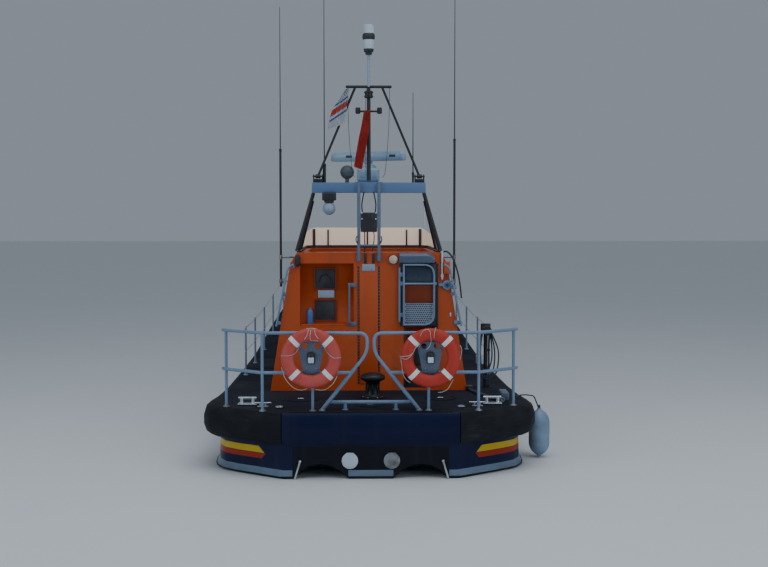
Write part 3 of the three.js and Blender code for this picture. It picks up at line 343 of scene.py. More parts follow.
@dataclass(frozen=True)
class GlossPaint(Recipe):
    """Brushed marine gloss with soft clouding, rain streaks and a fine orange-peel skin.

    Args:
        faded: The colour where weather has dulled it.
        streak: The colour of the runs of dirt.
        dirt: How strong the runs are.
        shine: Strength of its reflections, 0.5 for plain gloss.
    """

    faded: Colour
    streak: Colour
    dirt: float = 0.35
    shine: float = 0.5

    def paint(self, g: Graph) -> None:
        """Lays the finish on an empty material."""
        cloud = g.noise(0.9, 4).stretch(0.35, 0.7)
        runs = g.noise(5.0, 3, (1, 1, 0.12)).stretch(0.55, 0.78)
        spots = g.noise(30, 2).stretch(0.62, 0.72)
        base = g.blend(cloud * 0.6, self.colour, self.faded)
        dirty = g.blend((runs * self.dirt + spots * self.dirt * 0.5).clamped(), base, self.streak)
        g.shade(dirty, (0.38 + runs * 0.14 + cloud * 0.06).clamped(), Coat_Weight=self.shine * 0.5,
                Specular_IOR_Level=self.shine)
        g.bump(g.noise(260, 2) * 0.4 + g.noise(18, 2), 0.12, 0.002)


@dataclass(frozen=True)
class TubePaint(Recipe):
    """Painted metal tube or casting, chipped here and there to a darker undercoat."""

    chip: Colour
    rough: float = 0.42
    wear: float = 0.5

    def paint(self, g: Graph) -> None:
        """Lays the finish on an empty material."""
        cloud = g.noise(6, 3)
        chips = (g.noise(38, 4, rough=0.65).stretch(0.64, 0.7) * self.wear).clamped()
        shaded = g.blend(cloud.stretch(0.3, 0.7) * 0.35, self.colour, scaled(self.colour, 0.6))
        g.shade(g.blend(chips, shaded, self.chip), (self.rough + cloud * 0.2 - 0.1).clamped())
        g.bump(g.noise(150, 2) - chips * 0.8, 0.15, 0.0015)


@dataclass(frozen=True)
class Rubber(Recipe):
    """Black belting rubber with scuffs along its run and a bloom of salt."""

    scuff: Colour

    def paint(self, g: Graph) -> None:
        """Lays the finish on an empty material."""
        bloom = g.noise(3.5, 4).stretch(0.45, 0.75)
        scrapes = g.noise(14, 4, (0.25, 0.25, 3.0), 0.6).stretch(0.6, 0.72)
        mask = (bloom * 0.25 + scrapes * 0.25).clamped()
        g.shade(g.blend(mask, self.colour, self.scuff), (0.62 + bloom * 0.2 - scrapes * 0.08).clamped(),
                Specular_IOR_Level=0.12)
        g.bump(g.noise(90, 3) + scrapes * -0.6, 0.3, 0.002)


@dataclass(frozen=True)
class NonSlip(Recipe):
    """Deck paint with grit in it, worn smooth and dirty where people walk."""

    worn: Colour

    def paint(self, g: Graph) -> None:
        """Lays the finish on an empty material."""
        walked = g.noise(1.6, 4).stretch(0.4, 0.68)
        stains = g.noise(7, 4).stretch(0.56, 0.76)
        base = g.blend(walked * 0.55, self.colour, self.worn)
        g.shade(g.blend(stains * 0.45, base, scaled(self.colour, 0.45)), (0.82 - walked * 0.16).clamped(),
                Specular_IOR_Level=0.12)
        g.bump((0.6 - g.cells(170)).most(0.0) + walked * 0.2, 0.5, 0.0025)


@dataclass(frozen=True)
class BareMetal(Recipe):
    """Stainless steel, bronze or cast metal with brushing and tarnish."""

    tarnish: Colour
    rough: float = 0.28

    def paint(self, g: Graph) -> None:
        """Lays the finish on an empty material."""
        patina = g.noise(9, 4).stretch(0.45, 0.7)
        brush = g.noise(120, 2, (0.08, 1, 1))
        rough = (self.rough + patina * 0.25 + brush * 0.08).clamped()
        g.shade(g.blend(patina * 0.7, self.colour, self.tarnish), rough, 1.0)
        g.bump(brush + patina, 0.08, 0.001)


@dataclass(frozen=True)
class Moulding(Recipe):
    """Plain moulded plastic or sealant with a fine grain; shift is how much darker it gets in clouds."""

    rough: float = 0.5
    shift: float = 0.35

    def paint(self, g: Graph) -> None:
        """Lays the finish on an empty material."""
        cloud = g.noise(5, 3).stretch(0.35, 0.7)
        dull = scaled(self.colour, 1 - self.shift, 0.01)
        g.shade(g.blend(cloud, self.colour, dull), (self.rough + cloud * 0.12).clamped())
        g.bump(g.noise(220, 2), 0.1, 0.001)


@dataclass(frozen=True)
class Pane(Recipe):
    """Tinted window glass, or a milky sheet with dried spray on it whose emission in its own colour is painted
    backlight, standing in for the light that shines through it.
    """

    alpha: float
    rough: float = 0.06
    painted_backlight: float = 0.0

    def paint(self, g: Graph) -> None:
        """Lays the finish on an empty material."""
        spray = g.cells(60).below(0.16) * g.noise(4, 3).stretch(0.45, 0.6)
        film = g.noise(2.2, 3).stretch(0.3, 0.8)
        rough = (self.rough + spray * 0.4 + film * 0.08).clamped()
        g.shade(g.blend(spray * 0.3, self.colour, (0.5, 0.5, 0.5)), rough, Emission_Color=self.colour,
                # painted backlight: the emission strength makes the sheet glow in its own colour
                Alpha=(self.alpha + spray * 0.2 + film * 0.06).clamped(), Emission_Strength=self.painted_backlight)


@dataclass(frozen=True)
class HullLivery(Recipe):
    """Dark blue hull with a white boot-top painted in blue-grey sky shade, black antifouling, a yellow and red flash
    on each quarter, and painted shadow over the tunnel mouths and under the transom panel.

    Args:
        bottom: Antifouling colour.
        boot: Low and high Z of the white boot-top.
        flash: Low and high Z of the yellow flash.
        flash_end: Half breadth where the flash ends, at the foot of its slanted end.
        flash_long: How far forward of the transom the flash reaches.
        tunnel: X of the middle and half breadth of a propeller tunnel's mouth.
    """

    bottom: Colour = (0.012, 0.012, 0.014)
    boot: tuple[float, float] = (0.035, 0.115)
    flash: tuple[float, float] = (0.305, 0.39)
    flash_end: float = 1.38
    flash_long: float = 2.6
    tunnel: tuple[float, float] = (0.65, 0.36)

    def paint(self, g: Graph) -> None:
        """Lays the finish on an empty material."""
        x, y, z = g.axes(g.place)
        height = z + (g.noise(2.2, 3) * 0.006 - 0.003)
        cloud = g.noise(0.8, 4).stretch(0.35, 0.7)
        runs = g.noise(6, 3, (1, 1, 0.1)).stretch(0.58, 0.8)
        over_flash = z - self.flash[0]
        forward = y.below(ahead(self.flash_long) + over_flash * 3.0)
        yellow = height.between(*self.flash) * (abs(x) - over_flash * 0.9).above(self.flash_end) * forward
        red_end = (abs(x) + over_flash * 0.8).above(self.flash_end - 0.02)
        red = height.between(self.flash[0] - 0.075, self.flash[0] - 0.006) * red_end * forward
        astern = y.below(ahead(0.3))
        tunnels = abs(abs(x) - self.tunnel[0]).below(self.tunnel[1]) * astern
        # painted shadow: the transom between the tunnels, from the boot-top up to under the panel
        shadow = abs(x).below(1.0) * astern * height.between(self.boot[1], 0.42)
        weed = g.noise(3, 4).stretch(0.4, 0.62) * height.stretch(0.02, 0.12, 0.6, 0.0)
        painted = g.blend(cloud * 0.5, self.colour, scaled(self.colour, 1.9, 0.004))
        for mask, colour in (
            (yellow, (0.62, 0.42, 0.02)),
            (red, (0.36, 0.03, 0.012)),
            # painted sky shade: the white boot-top is given a dim blue-grey
            (height.between(*self.boot) * (1 - tunnels), (0.16, 0.22, 0.31)),
            (height.below(self.boot[0]), self.bottom),
            # painted shade: near black over the tunnel mouths and the shadow band under the panel
            (((tunnels * height.between(0, 0.4)).most(shadow) * 0.85).clamped(), (0.004, 0.004, 0.006)),
            ((runs * 0.18 + weed * 0.5).clamped(), (0.05, 0.055, 0.05)),
        ):
            painted = g.blend(mask, painted, colour)
        g.shade(painted, (0.3 + runs * 0.16 + cloud * 0.08 + height.below(self.boot[0]) * 0.4).clamped(),
                Coat_Weight=0.05, Specular_IOR_Level=0.18)
        g.bump(g.noise(14, 2) + g.noise(200, 2) * 0.3, 0.12, 0.002)


@dataclass(frozen=True)
class BandedFoam(Recipe):
    """Lifebuoy cover: orange with four white reflective bands on the diagonals, scuffed and sun-faded.

    Args:
        faded: The colour where the sun has bleached it.
        centre: X and Z of the ring's middle.
    """

    faded: Colour
    centre: tuple[float, float]

    def paint(self, g: Graph) -> None:
        """Lays the finish on an empty material."""
        x, _, z = g.axes(g.place)
        across, up = x - self.centre[0], z - self.centre[1]
        band = (abs(across - up) * 0.7071).least(abs(across + up) * 0.7071).below(0.029)
        bleach = g.noise(5, 4).stretch(0.3, 0.75)
        scuff = g.noise(32, 4, rough=0.7).stretch(0.6, 0.7)
        cover = g.blend(band, g.blend(bleach, self.colour, self.faded), (0.78, 0.8, 0.82))
        g.shade(g.blend(scuff * 0.35, cover, (0.3, 0.16, 0.12)), (0.5 + bleach * 0.12 - band * 0.12).clamped())
        g.bump(g.noise(160, 2) + band * 2.0, 0.2, 0.0015)


@dataclass(frozen=True)
class FlagCloth(Recipe):
    """Woven flag cloth, plain or with a red band and two thin blue lines across a pale field.

    Args:
        patterned: Whether the band and the lines are there, over the cloth's own UV.
    """

    patterned: bool = False

    def paint(self, g: Graph) -> None:
        """Lays the finish on an empty material."""
        u, v, _ = g.axes(g.node("ShaderNodeUVMap").outputs["UV"])
        soil = g.noise(4, 4).stretch(0.4, 0.75)
        field: object = self.colour
        if self.patterned:
            lean = v + u * 0.2
            field = g.blend(lean.between(0.5, 0.68), field, (0.62, 0.06, 0.02))
            field = g.blend(abs(abs(lean - 0.59) - 0.2).below(0.03), field, (0.05, 0.12, 0.42))
        g.shade(g.blend(soil * 0.35, field, scaled(self.colour, 0.45)), (0.85 + soil * 0.1).clamped(),
                Sheen_Weight=0.25)
        g.bump((u * 190).wrapped(1.0) + (v * 260).wrapped(1.0), 0.25, 0.0008)


class Finish(Enum):
    """The finishes of the boat, each with the material slot that it belongs to and how it is made."""

    ORANGE = ("orange_paint", GlossPaint("orange_gloss", (0.5, 0.068, 0.009), (0.56, 0.1, 0.022),
                                         (0.16, 0.04, 0.015), shine=0.4))
    # painted shade: a darker copy of the orange paint, used where the orange lies in shade in the alcove and behind
    # the gate
    DARK_ORANGE = ("orange_paint", GlossPaint("shaded_orange", (0.2, 0.027, 0.006), (0.24, 0.045, 0.01),
                                              (0.1, 0.02, 0.01), shine=0.3))
    NAVY = ("navy_paint", GlossPaint("navy_gloss", (0.004, 0.007, 0.035), (0.008, 0.012, 0.05),
                                     (0.025, 0.028, 0.04), shine=0.12))
    LIVERY = ("navy_paint", HullLivery("hull_livery", (0.004, 0.007, 0.035)))
    DECK = ("deck_paint", NonSlip("deck_non_slip", (0.014, 0.018, 0.028), (0.026, 0.03, 0.042)))
    RUBBER = ("rubber", Rubber("belting_rubber", (0.012, 0.013, 0.016), (0.07, 0.072, 0.08)))
    WHITE = ("white_paint", TubePaint("white_enamel", (0.66, 0.7, 0.74), (0.3, 0.28, 0.26), wear=0.35))
    GREY = ("grey_paint", TubePaint("rail_grey_blue", (0.19, 0.28, 0.42), (0.42, 0.48, 0.56)))
    POST = ("grey_paint", TubePaint("post_grey", (0.13, 0.18, 0.27), (0.3, 0.34, 0.4)))
    # painted sky shade: the pale beam is given a deep blue
    BEAM = ("white_paint", GlossPaint("beam_white_painted_shade", (0.09, 0.17, 0.33), (0.12, 0.2, 0.36), (0.05, 0.07, 0.1), 0.25))
    HOOD = ("grey_paint", GlossPaint("hood_blue", (0.07, 0.1, 0.17), (0.09, 0.13, 0.2), (0.03, 0.04, 0.05)))
    # painted sky shade: the white scanner is given a blue
    SCANNER = ("white_plastic", GlossPaint("scanner_white_painted_shade", (0.24, 0.36, 0.5), (0.3, 0.42, 0.54),
                                           (0.1, 0.14, 0.2), 0.2))
    DOME = ("white_plastic", Moulding("dome_grey", (0.05, 0.065, 0.077), 0.45, -0.3))
    BLACK = ("black_paint", TubePaint("mast_black", (0.014, 0.015, 0.018), (0.12, 0.12, 0.13), 0.4, 0.35))
    STEEL = ("steel", BareMetal("stainless", (0.62, 0.65, 0.7), (0.34, 0.34, 0.34)))
    DULL_STEEL = ("grey_paint", BareMetal("weathered_alloy", (0.32, 0.34, 0.36), (0.16, 0.15, 0.14), 0.45))
    ALLOY = ("grey_paint", TubePaint("pale_alloy", (0.3, 0.38, 0.5), (0.42, 0.46, 0.52)))
    BRONZE = ("bronze", BareMetal("sea_bronze", (0.42, 0.26, 0.1), (0.1, 0.16, 0.12), 0.35))
    GLASS = ("window_glass", Pane("tinted_glass", (0.02, 0.026, 0.03), 0.62))
    DARK_PANE = ("window_glass", Moulding("gate_pane", (0.02, 0.032, 0.055), 0.2, -0.5))
    # painted backlight: the milky sheet glows in its own colour
    SCREEN = ("cream_screen", Pane("milky_sheet", (0.95, 0.8, 0.65), 0.97, 0.28, 0.22))
    MAROON = ("maroon_plastic", Moulding("maroon_trim", (0.06, 0.018, 0.014), 0.42))
    PLASTIC = ("black_plastic", Moulding("black_moulding", (0.014, 0.015, 0.018), 0.45, -0.9))
    # painted sky shade: the white mouldings are tinted blue
    PALE = ("white_plastic", Moulding("white_moulding_painted_shade", (0.56, 0.66, 0.76), 0.36, 0.2))
    BEIGE = ("white_plastic", Moulding("beige_lens", (0.62, 0.5, 0.38), 0.3, 0.2))
    BLUE = ("white_plastic", Moulding("blue_moulding", (0.05, 0.16, 0.42), 0.34))
    # painted sky shade: the pale fender is given a blue-grey
    FENDER = ("white_plastic", Moulding("fender_vinyl_painted_shade", (0.24, 0.34, 0.48), 0.45, 0.3))
    SEAT = ("seat_cover", Moulding("seat_vinyl", (0.02, 0.021, 0.025), 0.55, -0.8))
    ENGINE = ("engine_iron", TubePaint("engine_grey", (0.25, 0.28, 0.31), (0.12, 0.09, 0.07), 0.5))
    RED_CLOTH = ("red_cloth", FlagCloth("ensign_cloth", (0.66, 0.032, 0.014)))
    WHITE_CLOTH = ("white_cloth", FlagCloth("signal_cloth", (0.66, 0.68, 0.72), True))
    ROPE = ("white_plastic", Moulding("grab_rope", (0.56, 0.5, 0.47), 0.8))
    FOAM_PORT = ("orange_foam", BandedFoam("foam_port", (0.5, 0.055, 0.042), (0.56, 0.095, 0.08), (-0.765, 1.565)))
    FOAM_STARBOARD = ("orange_foam", BandedFoam("foam_starboard", (0.45, 0.02, 0.008), (0.5, 0.04, 0.022),
                                                (0.765, 1.565)))
    DARK_ROPE = ("black_plastic", Moulding("dark_rope", (0.035, 0.04, 0.05), 0.85, -0.6))

    @property
    def slot(self) -> str:
        """The finish's material slot."""
        return self.value[0]

    def material(self) -> bpy.types.Material:
        """The finish's material, made at its first use."""
        recipe = self.value[1]
        return bpy.data.materials.get(recipe.name) or recipe.build()


# Meshes


def rounded_path(points: Sequence[Place], bend: float, steps: int = 6) -> list[Vector]:
    """A path through corner points with each inner corner rounded.

    Args:
        points: The corners.
        bend: How far from a corner its rounding starts.
        steps: Pieces in each rounding.

    Returns:
        The points of the path.
    """
    corners = [Vector(point) for point in points]
    path = [corners[0]]
    for before, corner, after in zip(corners, corners[1:], corners[2:]):
        reach = min(bend, (before - corner).length * 0.49, (after - corner).length * 0.49)
        arrive = corner + (before - corner).normalized() * reach
        leave = corner + (after - corner).normalized() * reach
        for step in range(steps + 1):
            t = step / steps
            path.append(arrive * (1 - t) ** 2 + corner * 2 * t * (1 - t) + leave * t ** 2)
    return [*path, corners[-1]]


def smooth_path(points: Sequence[Place], steps: int = 6) -> list[Vector]:
    """A soft curve through every one of the points.

    Args:
        points: The points that it passes.
        steps: Pieces between two points.

    Returns:
        The points of the curve.
    """
    knots = [Vector(point) for point in points]
    ends = [knots[0] * 2 - knots[1], *knots, knots[-1] * 2 - knots[-2]]
    path: list[Vector] = []
    for a, b, c, d in zip(ends, ends[1:], ends[2:], ends[3:]):
        for step in range(steps):
            t = step / steps
            path.append(0.5 * ((2 * b) + (c - a) * t + (2 * a - 5 * b + 4 * c - d) * t ** 2
                               + (3 * b - a - 3 * c + d) * t ** 3))
    return [*path, knots[-1]]


def circle(radius: float, sides: int, squash: float = 1.0, lead: float = 0.0) -> list[tuple[float, float]]:
    """The corners of a round outline, flattened in its second direction and turned on by a share of a side."""
    turns = [math.tau * (i + lead) / sides for i in range(sides)]
    return [(radius * math.cos(turn), radius * squash * math.sin(turn)) for turn in turns]


def rectangle(left: float, low: float, right: float, high: float) -> list[tuple[float, float]]:
    """The corners of a rectangle."""
    return [(left, low), (right, low), (right, high), (left, high)]


def across(u: float, v: float, depth: float) -> Point:
    """Puts an outline upright across the boat, with its depth running forward."""
    return (u, depth, v)


def along(u: float, v: float, depth: float) -> Point:
    """Puts an outline upright along the boat, with its depth running to starboard."""
    return (depth, u, v)


def level(u: float, v: float, depth: float) -> Point:
    """Puts an outline level, with its depth running up."""
    return (u, v, depth)


def on_desk(u: float, v: float, depth: float) -> Point:
    """Puts an outline on the sloping desk of the steering console."""
    return (u, v * 0.81 - depth * 0.58, v * 0.58 + depth * 0.81)


class Form:
    """A mesh under construction, made of closed shells.

    Each shell takes the finish that is set when it is added, so one piece can hold several finishes, and
    its places are measured from the origin that is set. Edges of boxes and of other shells are softened
    where they turn by more than an angle in radians, by no more than a share of the thinnest measure.
    """

    box_turn = 0.5
    rim_turn = 0.9
    thin_share = 0.4
    merge = 1e-4
    flat_turn = 0.01

    def __init__(self, finish: Finish, *origin: float) -> None:
        """Starts an empty form.

        Args:
            finish: The finish of the first shells.
            origin: Where their places are measured from, if it isn't the boat's own origin.
        """
        self.mesh = bmesh.new()
        self.finishes = [finish]
        self.index = 0
        self.origin = Vector(origin or (0, 0, 0))

    def use(self, finish: Finish) -> "Form":
        """Sets the finish of the shells that follow."""
        if finish not in self.finishes:
            self.finishes.append(finish)
        self.index = self.finishes.index(finish)
        return self

    def at(self, *origin: float) -> "Form":
        """Sets where the places of the shells that follow are measured from."""
        self.origin = Vector(origin)
        return self

    def _mark(self, faces: Iterable[bmesh.types.BMFace]) -> None:
        """Gives faces the finish that is set."""
        for face in faces:
            face.material_index = self.index

    def _faces_of(self, verts: Iterable[bmesh.types.BMVert]) -> list[bmesh.types.BMFace]:
        """The faces that touch any of the vertices."""
        return list({face for vert in verts for face in vert.link_faces})

    def _soften(self, verts: Sequence[bmesh.types.BMVert], width: float, angle: float, segments: int) -> "Form":
        """Bevels the shell's edges that are sharper than an angle.

        Args:
            verts: The shell's vertices.
            width: Width of the bevel.
            angle: Least angle between two faces, in radians.
            segments: Faces across the bevel.

        Returns:
            The form itself.
        """
        faces = self._faces_of(verts)
        self._mark(faces)
        if width > 0:
            edges = {edge for face in faces for edge in face.edges}
            sharp = [edge for edge in edges if edge.is_manifold and edge.calc_face_angle(0) > angle]
            made = bmesh.ops.bevel(self.mesh, geom=sharp, offset=width, segments=segments, profile=0.5,
                                   affect="EDGES", clamp_overlap=True)
            self._mark({face for face in faces if face.is_valid} | set(made["faces"]))
        return self

    def block(self, low: Place, high: Place, soft: float = 0.006, segments: int = 2) -> "Form":
        """Adds a box with softened edges between two opposite corners."""
        size = Vector([abs(a - b) for a, b in zip(low, high)])
        middle = Matrix.Translation((Vector(low) + Vector(high)) / 2 + self.origin)
        made = bmesh.ops.create_cube(self.mesh, size=1.0, matrix=middle @ Matrix.Diagonal((*size, 1)))
        return self._soften(made["verts"], min(soft, min(size) * self.thin_share), self.box_turn, segments)

    def blocks(self, *rows: Sequence[float]) -> "Form":
        """Adds boxes, each from the three numbers of its low and its high corner and its softness."""
        for row in rows:
            self.block(row[:3], row[3:6], *row[6:])
        return self

    def boxes(self, centres: Iterable[float], half: float, low: tuple[float, float], high: tuple[float, float],
              soft: float = 0.006, segments: int = 2) -> "Form":
        """Adds equal boxes beside each other.

        Args:
            centres: X of each box's middle.
            half: Half its width.
            low: Y and Z of its low corner.
            high: Y and Z of its high corner.
            soft: Rounding of its edges.
            segments: Faces across the rounding.

        Returns:
            The form itself.
        """
        for x in centres:
            self.block((x - half, *low), (x + half, *high), soft, segments)
        return self

    def rod(self, start: Place, end: Place, radius: float, end_radius: float | None = None, sides: int = 20,
            soft: float = 0.003) -> "Form":
        """Adds a round bar, or a cone where the end's radius differs.

        Args:
            start: Middle of one end.
            end: Middle of the other end.
            radius: Radius at the start.
            end_radius: Radius at the end, if it differs.
            sides: Faces round it.
            soft: Rounding of the two rims.

        Returns:
            The form itself.
        """
        a, b = Vector(start), Vector(end)
        turn = Vector(UP).rotation_difference(b - a).to_matrix().to_4x4()
        far = radius if end_radius is None else end_radius
        matrix = Matrix.Translation((a + b) / 2 + self.origin) @ turn
        made = bmesh.ops.create_cone(self.mesh, cap_ends=True, segments=sides, radius1=radius, radius2=far,
                                     depth=(b - a).length, matrix=matrix)
        width = min(soft, min(radius, far) * self.thin_share)
        return self._soften(made["verts"], width, self.rim_turn, 1)

    def pins(self, starts: Iterable[Place], run: Place, radius: float, sides: int = 6) -> "Form":
        """Adds equal round bars that run the same way from several starts."""
        for start in starts:
            self.rod(start, Vector(start) + Vector(run), radius, sides=sides)
        return self

    def skin(self, sections: Sequence[Sequence[Place]], closed: bool = True, loop: bool = False) -> "Form":
        """Adds a skin over sections of equal point counts, with its two ends filled.

        Args:
            sections: The sections in order.
            closed: Whether each section's last point joins its first.
            loop: Whether the last section joins the first, so that no ends are left.

        Returns:
            The form itself.
        """
        rows = [[self.mesh.verts.new(Vector(point) + self.origin) for point in section] for section in sections]
        count = len(rows[0])
        faces = []
        for near, far in zip(rows, [*rows[1:], rows[0]] if loop else rows[1:]):
            for i in range(count if closed else count - 1):
                j = (i + 1) % count
                faces.append(self.mesh.faces.new((near[i], near[j], far[j], far[i])))
        if not loop:
            faces += [self.mesh.faces.new(reversed(rows[0])), self.mesh.faces.new(rows[-1])]
        self._mark(faces)
        return self

    def sweep(self, path: Sequence[Vector], section: Outline, up: Place = UP, loop: bool = False) -> "Form":
        """Adds a section carried along a path without twisting.

        Args:
            path: The points of the path.
            section: The section's corners, sideways and upwards.
            up: Which way the section's second direction faces at the start.
            loop: Whether the path closes on itself.

        Returns:
            The form itself.
        """
        sections = []
        side = None
        for i, point in enumerate(path):
            before = path[i - 1] if i or loop else point
            after = path[(i + 1) % len(path)] if i < len(path) - 1 or loop else point
            run = (after - before).normalized()
            if side is None:
                side = run.cross(Vector(up))
                side = side if side.length > 1e-4 else run.cross(Vector((1, 0, 0)))
            side = (side - run * side.dot(run)).normalized()
            rise = side.cross(run)
            sections.append([point + side * u + rise * v for u, v in section])
        return self.skin(sections, loop=loop)

    def tube(self, points: Sequence[Place], radius: float, bend: float = 0.0, sides: int = 14,
             smooth: bool = False) -> "Form":
        """Adds a round tube through points, with rounded corners or as one soft curve."""
        corners = rounded_path(points, bend) if bend else [Vector(point) for point in points]
        return self.sweep(smooth_path(points) if smooth else corners, circle(radius, sides))

    def hoop(self, radius: float, wire: float, count: int, sides: int, up: Place = UP) -> "Form":
        """Adds a closed ring of round section about the origin, level or facing forward.

        Args:
            radius: The ring's radius.
            wire: Radius of its section.
            count: Points round the ring.
            sides: Faces round the section.
            up: Its axis, UP or FORWARD.

        Returns:
            The form itself.
        """
        plane = across if up == FORWARD else level
        path = [Vector(plane(u, v, 0)) for u, v in circle(radius, count)]
        return self.sweep(path, circle(wire, sides), up, True)

    def turned(self, profile: Outline, centre: Place = (0, 0, 0), axis: Place = UP, sides: int = 28,
               ring: bool = False) -> "Form":
        """Adds a body of revolution, closed to its axis with flat ends.

        Args:
            profile: Radius and height of each point, from one end of the axis to the other.
            centre: Where height zero is on the axis.
            axis: Direction of the axis.
            sides: Faces round it.
            ring: Whether the profile is a closed loop clear of the axis.

        Returns:
            The form itself.
        """
        turn = Vector(UP).rotation_difference(Vector(axis)).to_matrix()
        points = list(profile)
        if not ring and points[0][0] > 0:
            points.insert(0, (0, points[0][1]))
        if not ring and points[-1][0] > 0:
            points.append((0, points[-1][1]))
        sections = [[Vector(centre) + turn @ Vector((x * r, y * r, h)) for r, h in points]
                    for x, y in circle(1, sides)]
        before = len(self.mesh.verts)
        self.skin(sections, closed=ring, loop=True)
        bmesh.ops.remove_doubles(self.mesh, verts=list(self.mesh.verts)[before:], dist=1e-6)
        return self

    def plate(self, outline: Outline, plane: Plane, depth: tuple[float, float], soft: float = 0.003,
              holes: Sequence[Outline] = ()) -> "Form":
        """Adds a flat plate of any outline.

        Args:
            outline: The outline's corners.
            plane: Turns the outline's two numbers and a depth into a place.
            depth: The two depths between which the plate lies.
            soft: Rounding of its edges.
            holes: Outlines cut out of it.

        Returns:
            The form itself.
        """
        near, far = (Vector(plane(0, 0, value)) for value in depth)
        loops = [[self.mesh.verts.new(Vector(plane(u, v, depth[0])) + self.origin) for u, v in ring]
                 for ring in (outline, *holes)]
        edges = [self.mesh.edges.new(pair) for ring in loops for pair in zip(ring, [*ring[1:], ring[0]])]
        filled = bmesh.ops.triangle_fill(self.mesh, edges=edges, use_beauty=True, use_dissolve=True)
        faces = [item for item in filled["geom"] if isinstance(item, bmesh.types.BMFace)]
        pushed = bmesh.ops.extrude_face_region(self.mesh, geom=faces)["geom"]
        verts = [item for item in pushed if isinstance(item, bmesh.types.BMVert)]
        bmesh.ops.translate(self.mesh, verts=verts, vec=far - near)
        shell = [vert for ring in loops for vert in ring] + verts
        bmesh.ops.recalc_face_normals(self.mesh, faces=self._faces_of(shell))
        return self._soften(shell, soft, self.rim_turn, 2)

    def ball(self, centre: Place, radius: float, stretch: Place = (1, 1, 1)) -> "Form":
        """Adds a ball or an egg."""
        matrix = Matrix.Translation(Vector(centre) + self.origin) @ Matrix.Diagonal((*stretch, 1))
        made = bmesh.ops.create_uvsphere(self.mesh, u_segments=20, v_segments=12, radius=radius, matrix=matrix)
        self._mark(self._faces_of(made["verts"]))
        return self

    def node(self, name: str) -> "Form":
        """Adds a copy of a CAD node's mesh with its vertices merged and its flat faces joined."""
        copy = bmesh.new()
        copy.from_mesh(bpy.data.objects[name].data)
        bmesh.ops.remove_doubles(copy, verts=copy.verts, dist=self.merge)
        bmesh.ops.dissolve_limit(copy, angle_limit=self.flat_turn, verts=copy.verts, edges=copy.edges)
        for face in copy.faces:
            face.material_index = self.index
        spare = bpy.data.meshes.new("spare")
        copy.to_mesh(spare)
        copy.free()
        self.mesh.from_mesh(spare)
        bpy.data.meshes.remove(spare)
        return self

    def piece(self, name: str, *nodes: str, body: Body = Body.BOAT, smooth: float = 35.0) -> bpy.types.Object:
        """Turns the form into a finished piece of the boat.

        Args:
            name: The piece's name.
            nodes: CAD nodes that it stands for.
            body: The body that it rides on.
            smooth: Edges sharper than this many degrees stay sharp.

        Returns:
            The piece.
        """
        bmesh.ops.recalc_face_normals(self.mesh, faces=self.mesh.faces)
        data = bpy.data.meshes.new(name)
        self.mesh.to_mesh(data)
        self.mesh.free()
        for finish in self.finishes:
            data.materials.append(finish.material())
        return adopt(data, nodes, body, smooth)


def adopt(data: bpy.types.Mesh, nodes: Sequence[str] = (), body: Body = Body.BOAT,
          smooth: float = 35.0) -> bpy.types.Object:
    """Links a mesh as the piece of its name, shades it and puts it on its body.

    Args:
        data: The mesh.
        nodes: CAD nodes that it stands for.
        body: The body that it rides on.
        smooth: Edges sharper than this many degrees stay sharp.

    Returns:
        The piece.
    """
    data.shade_smooth()
    data.set_sharp_from_angle(angle=math.radians(smooth))
    made = link(data.name, data)
    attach(made, body.value)
    if nodes:
        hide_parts(*nodes)
    LOG.info("made %s, %d faces", made.name, len(data.polygons))
    return made


def dress(node: str, name: str, finish: Finish, smooth: float = 40.0, body: Body = Body.BOAT) -> None:
    """Makes a piece in the shape of the CAD node that it stands for."""
    Form(finish).node(node).piece(name, node, body=body, smooth=smooth)


# Repeats made with Geometry Nodes


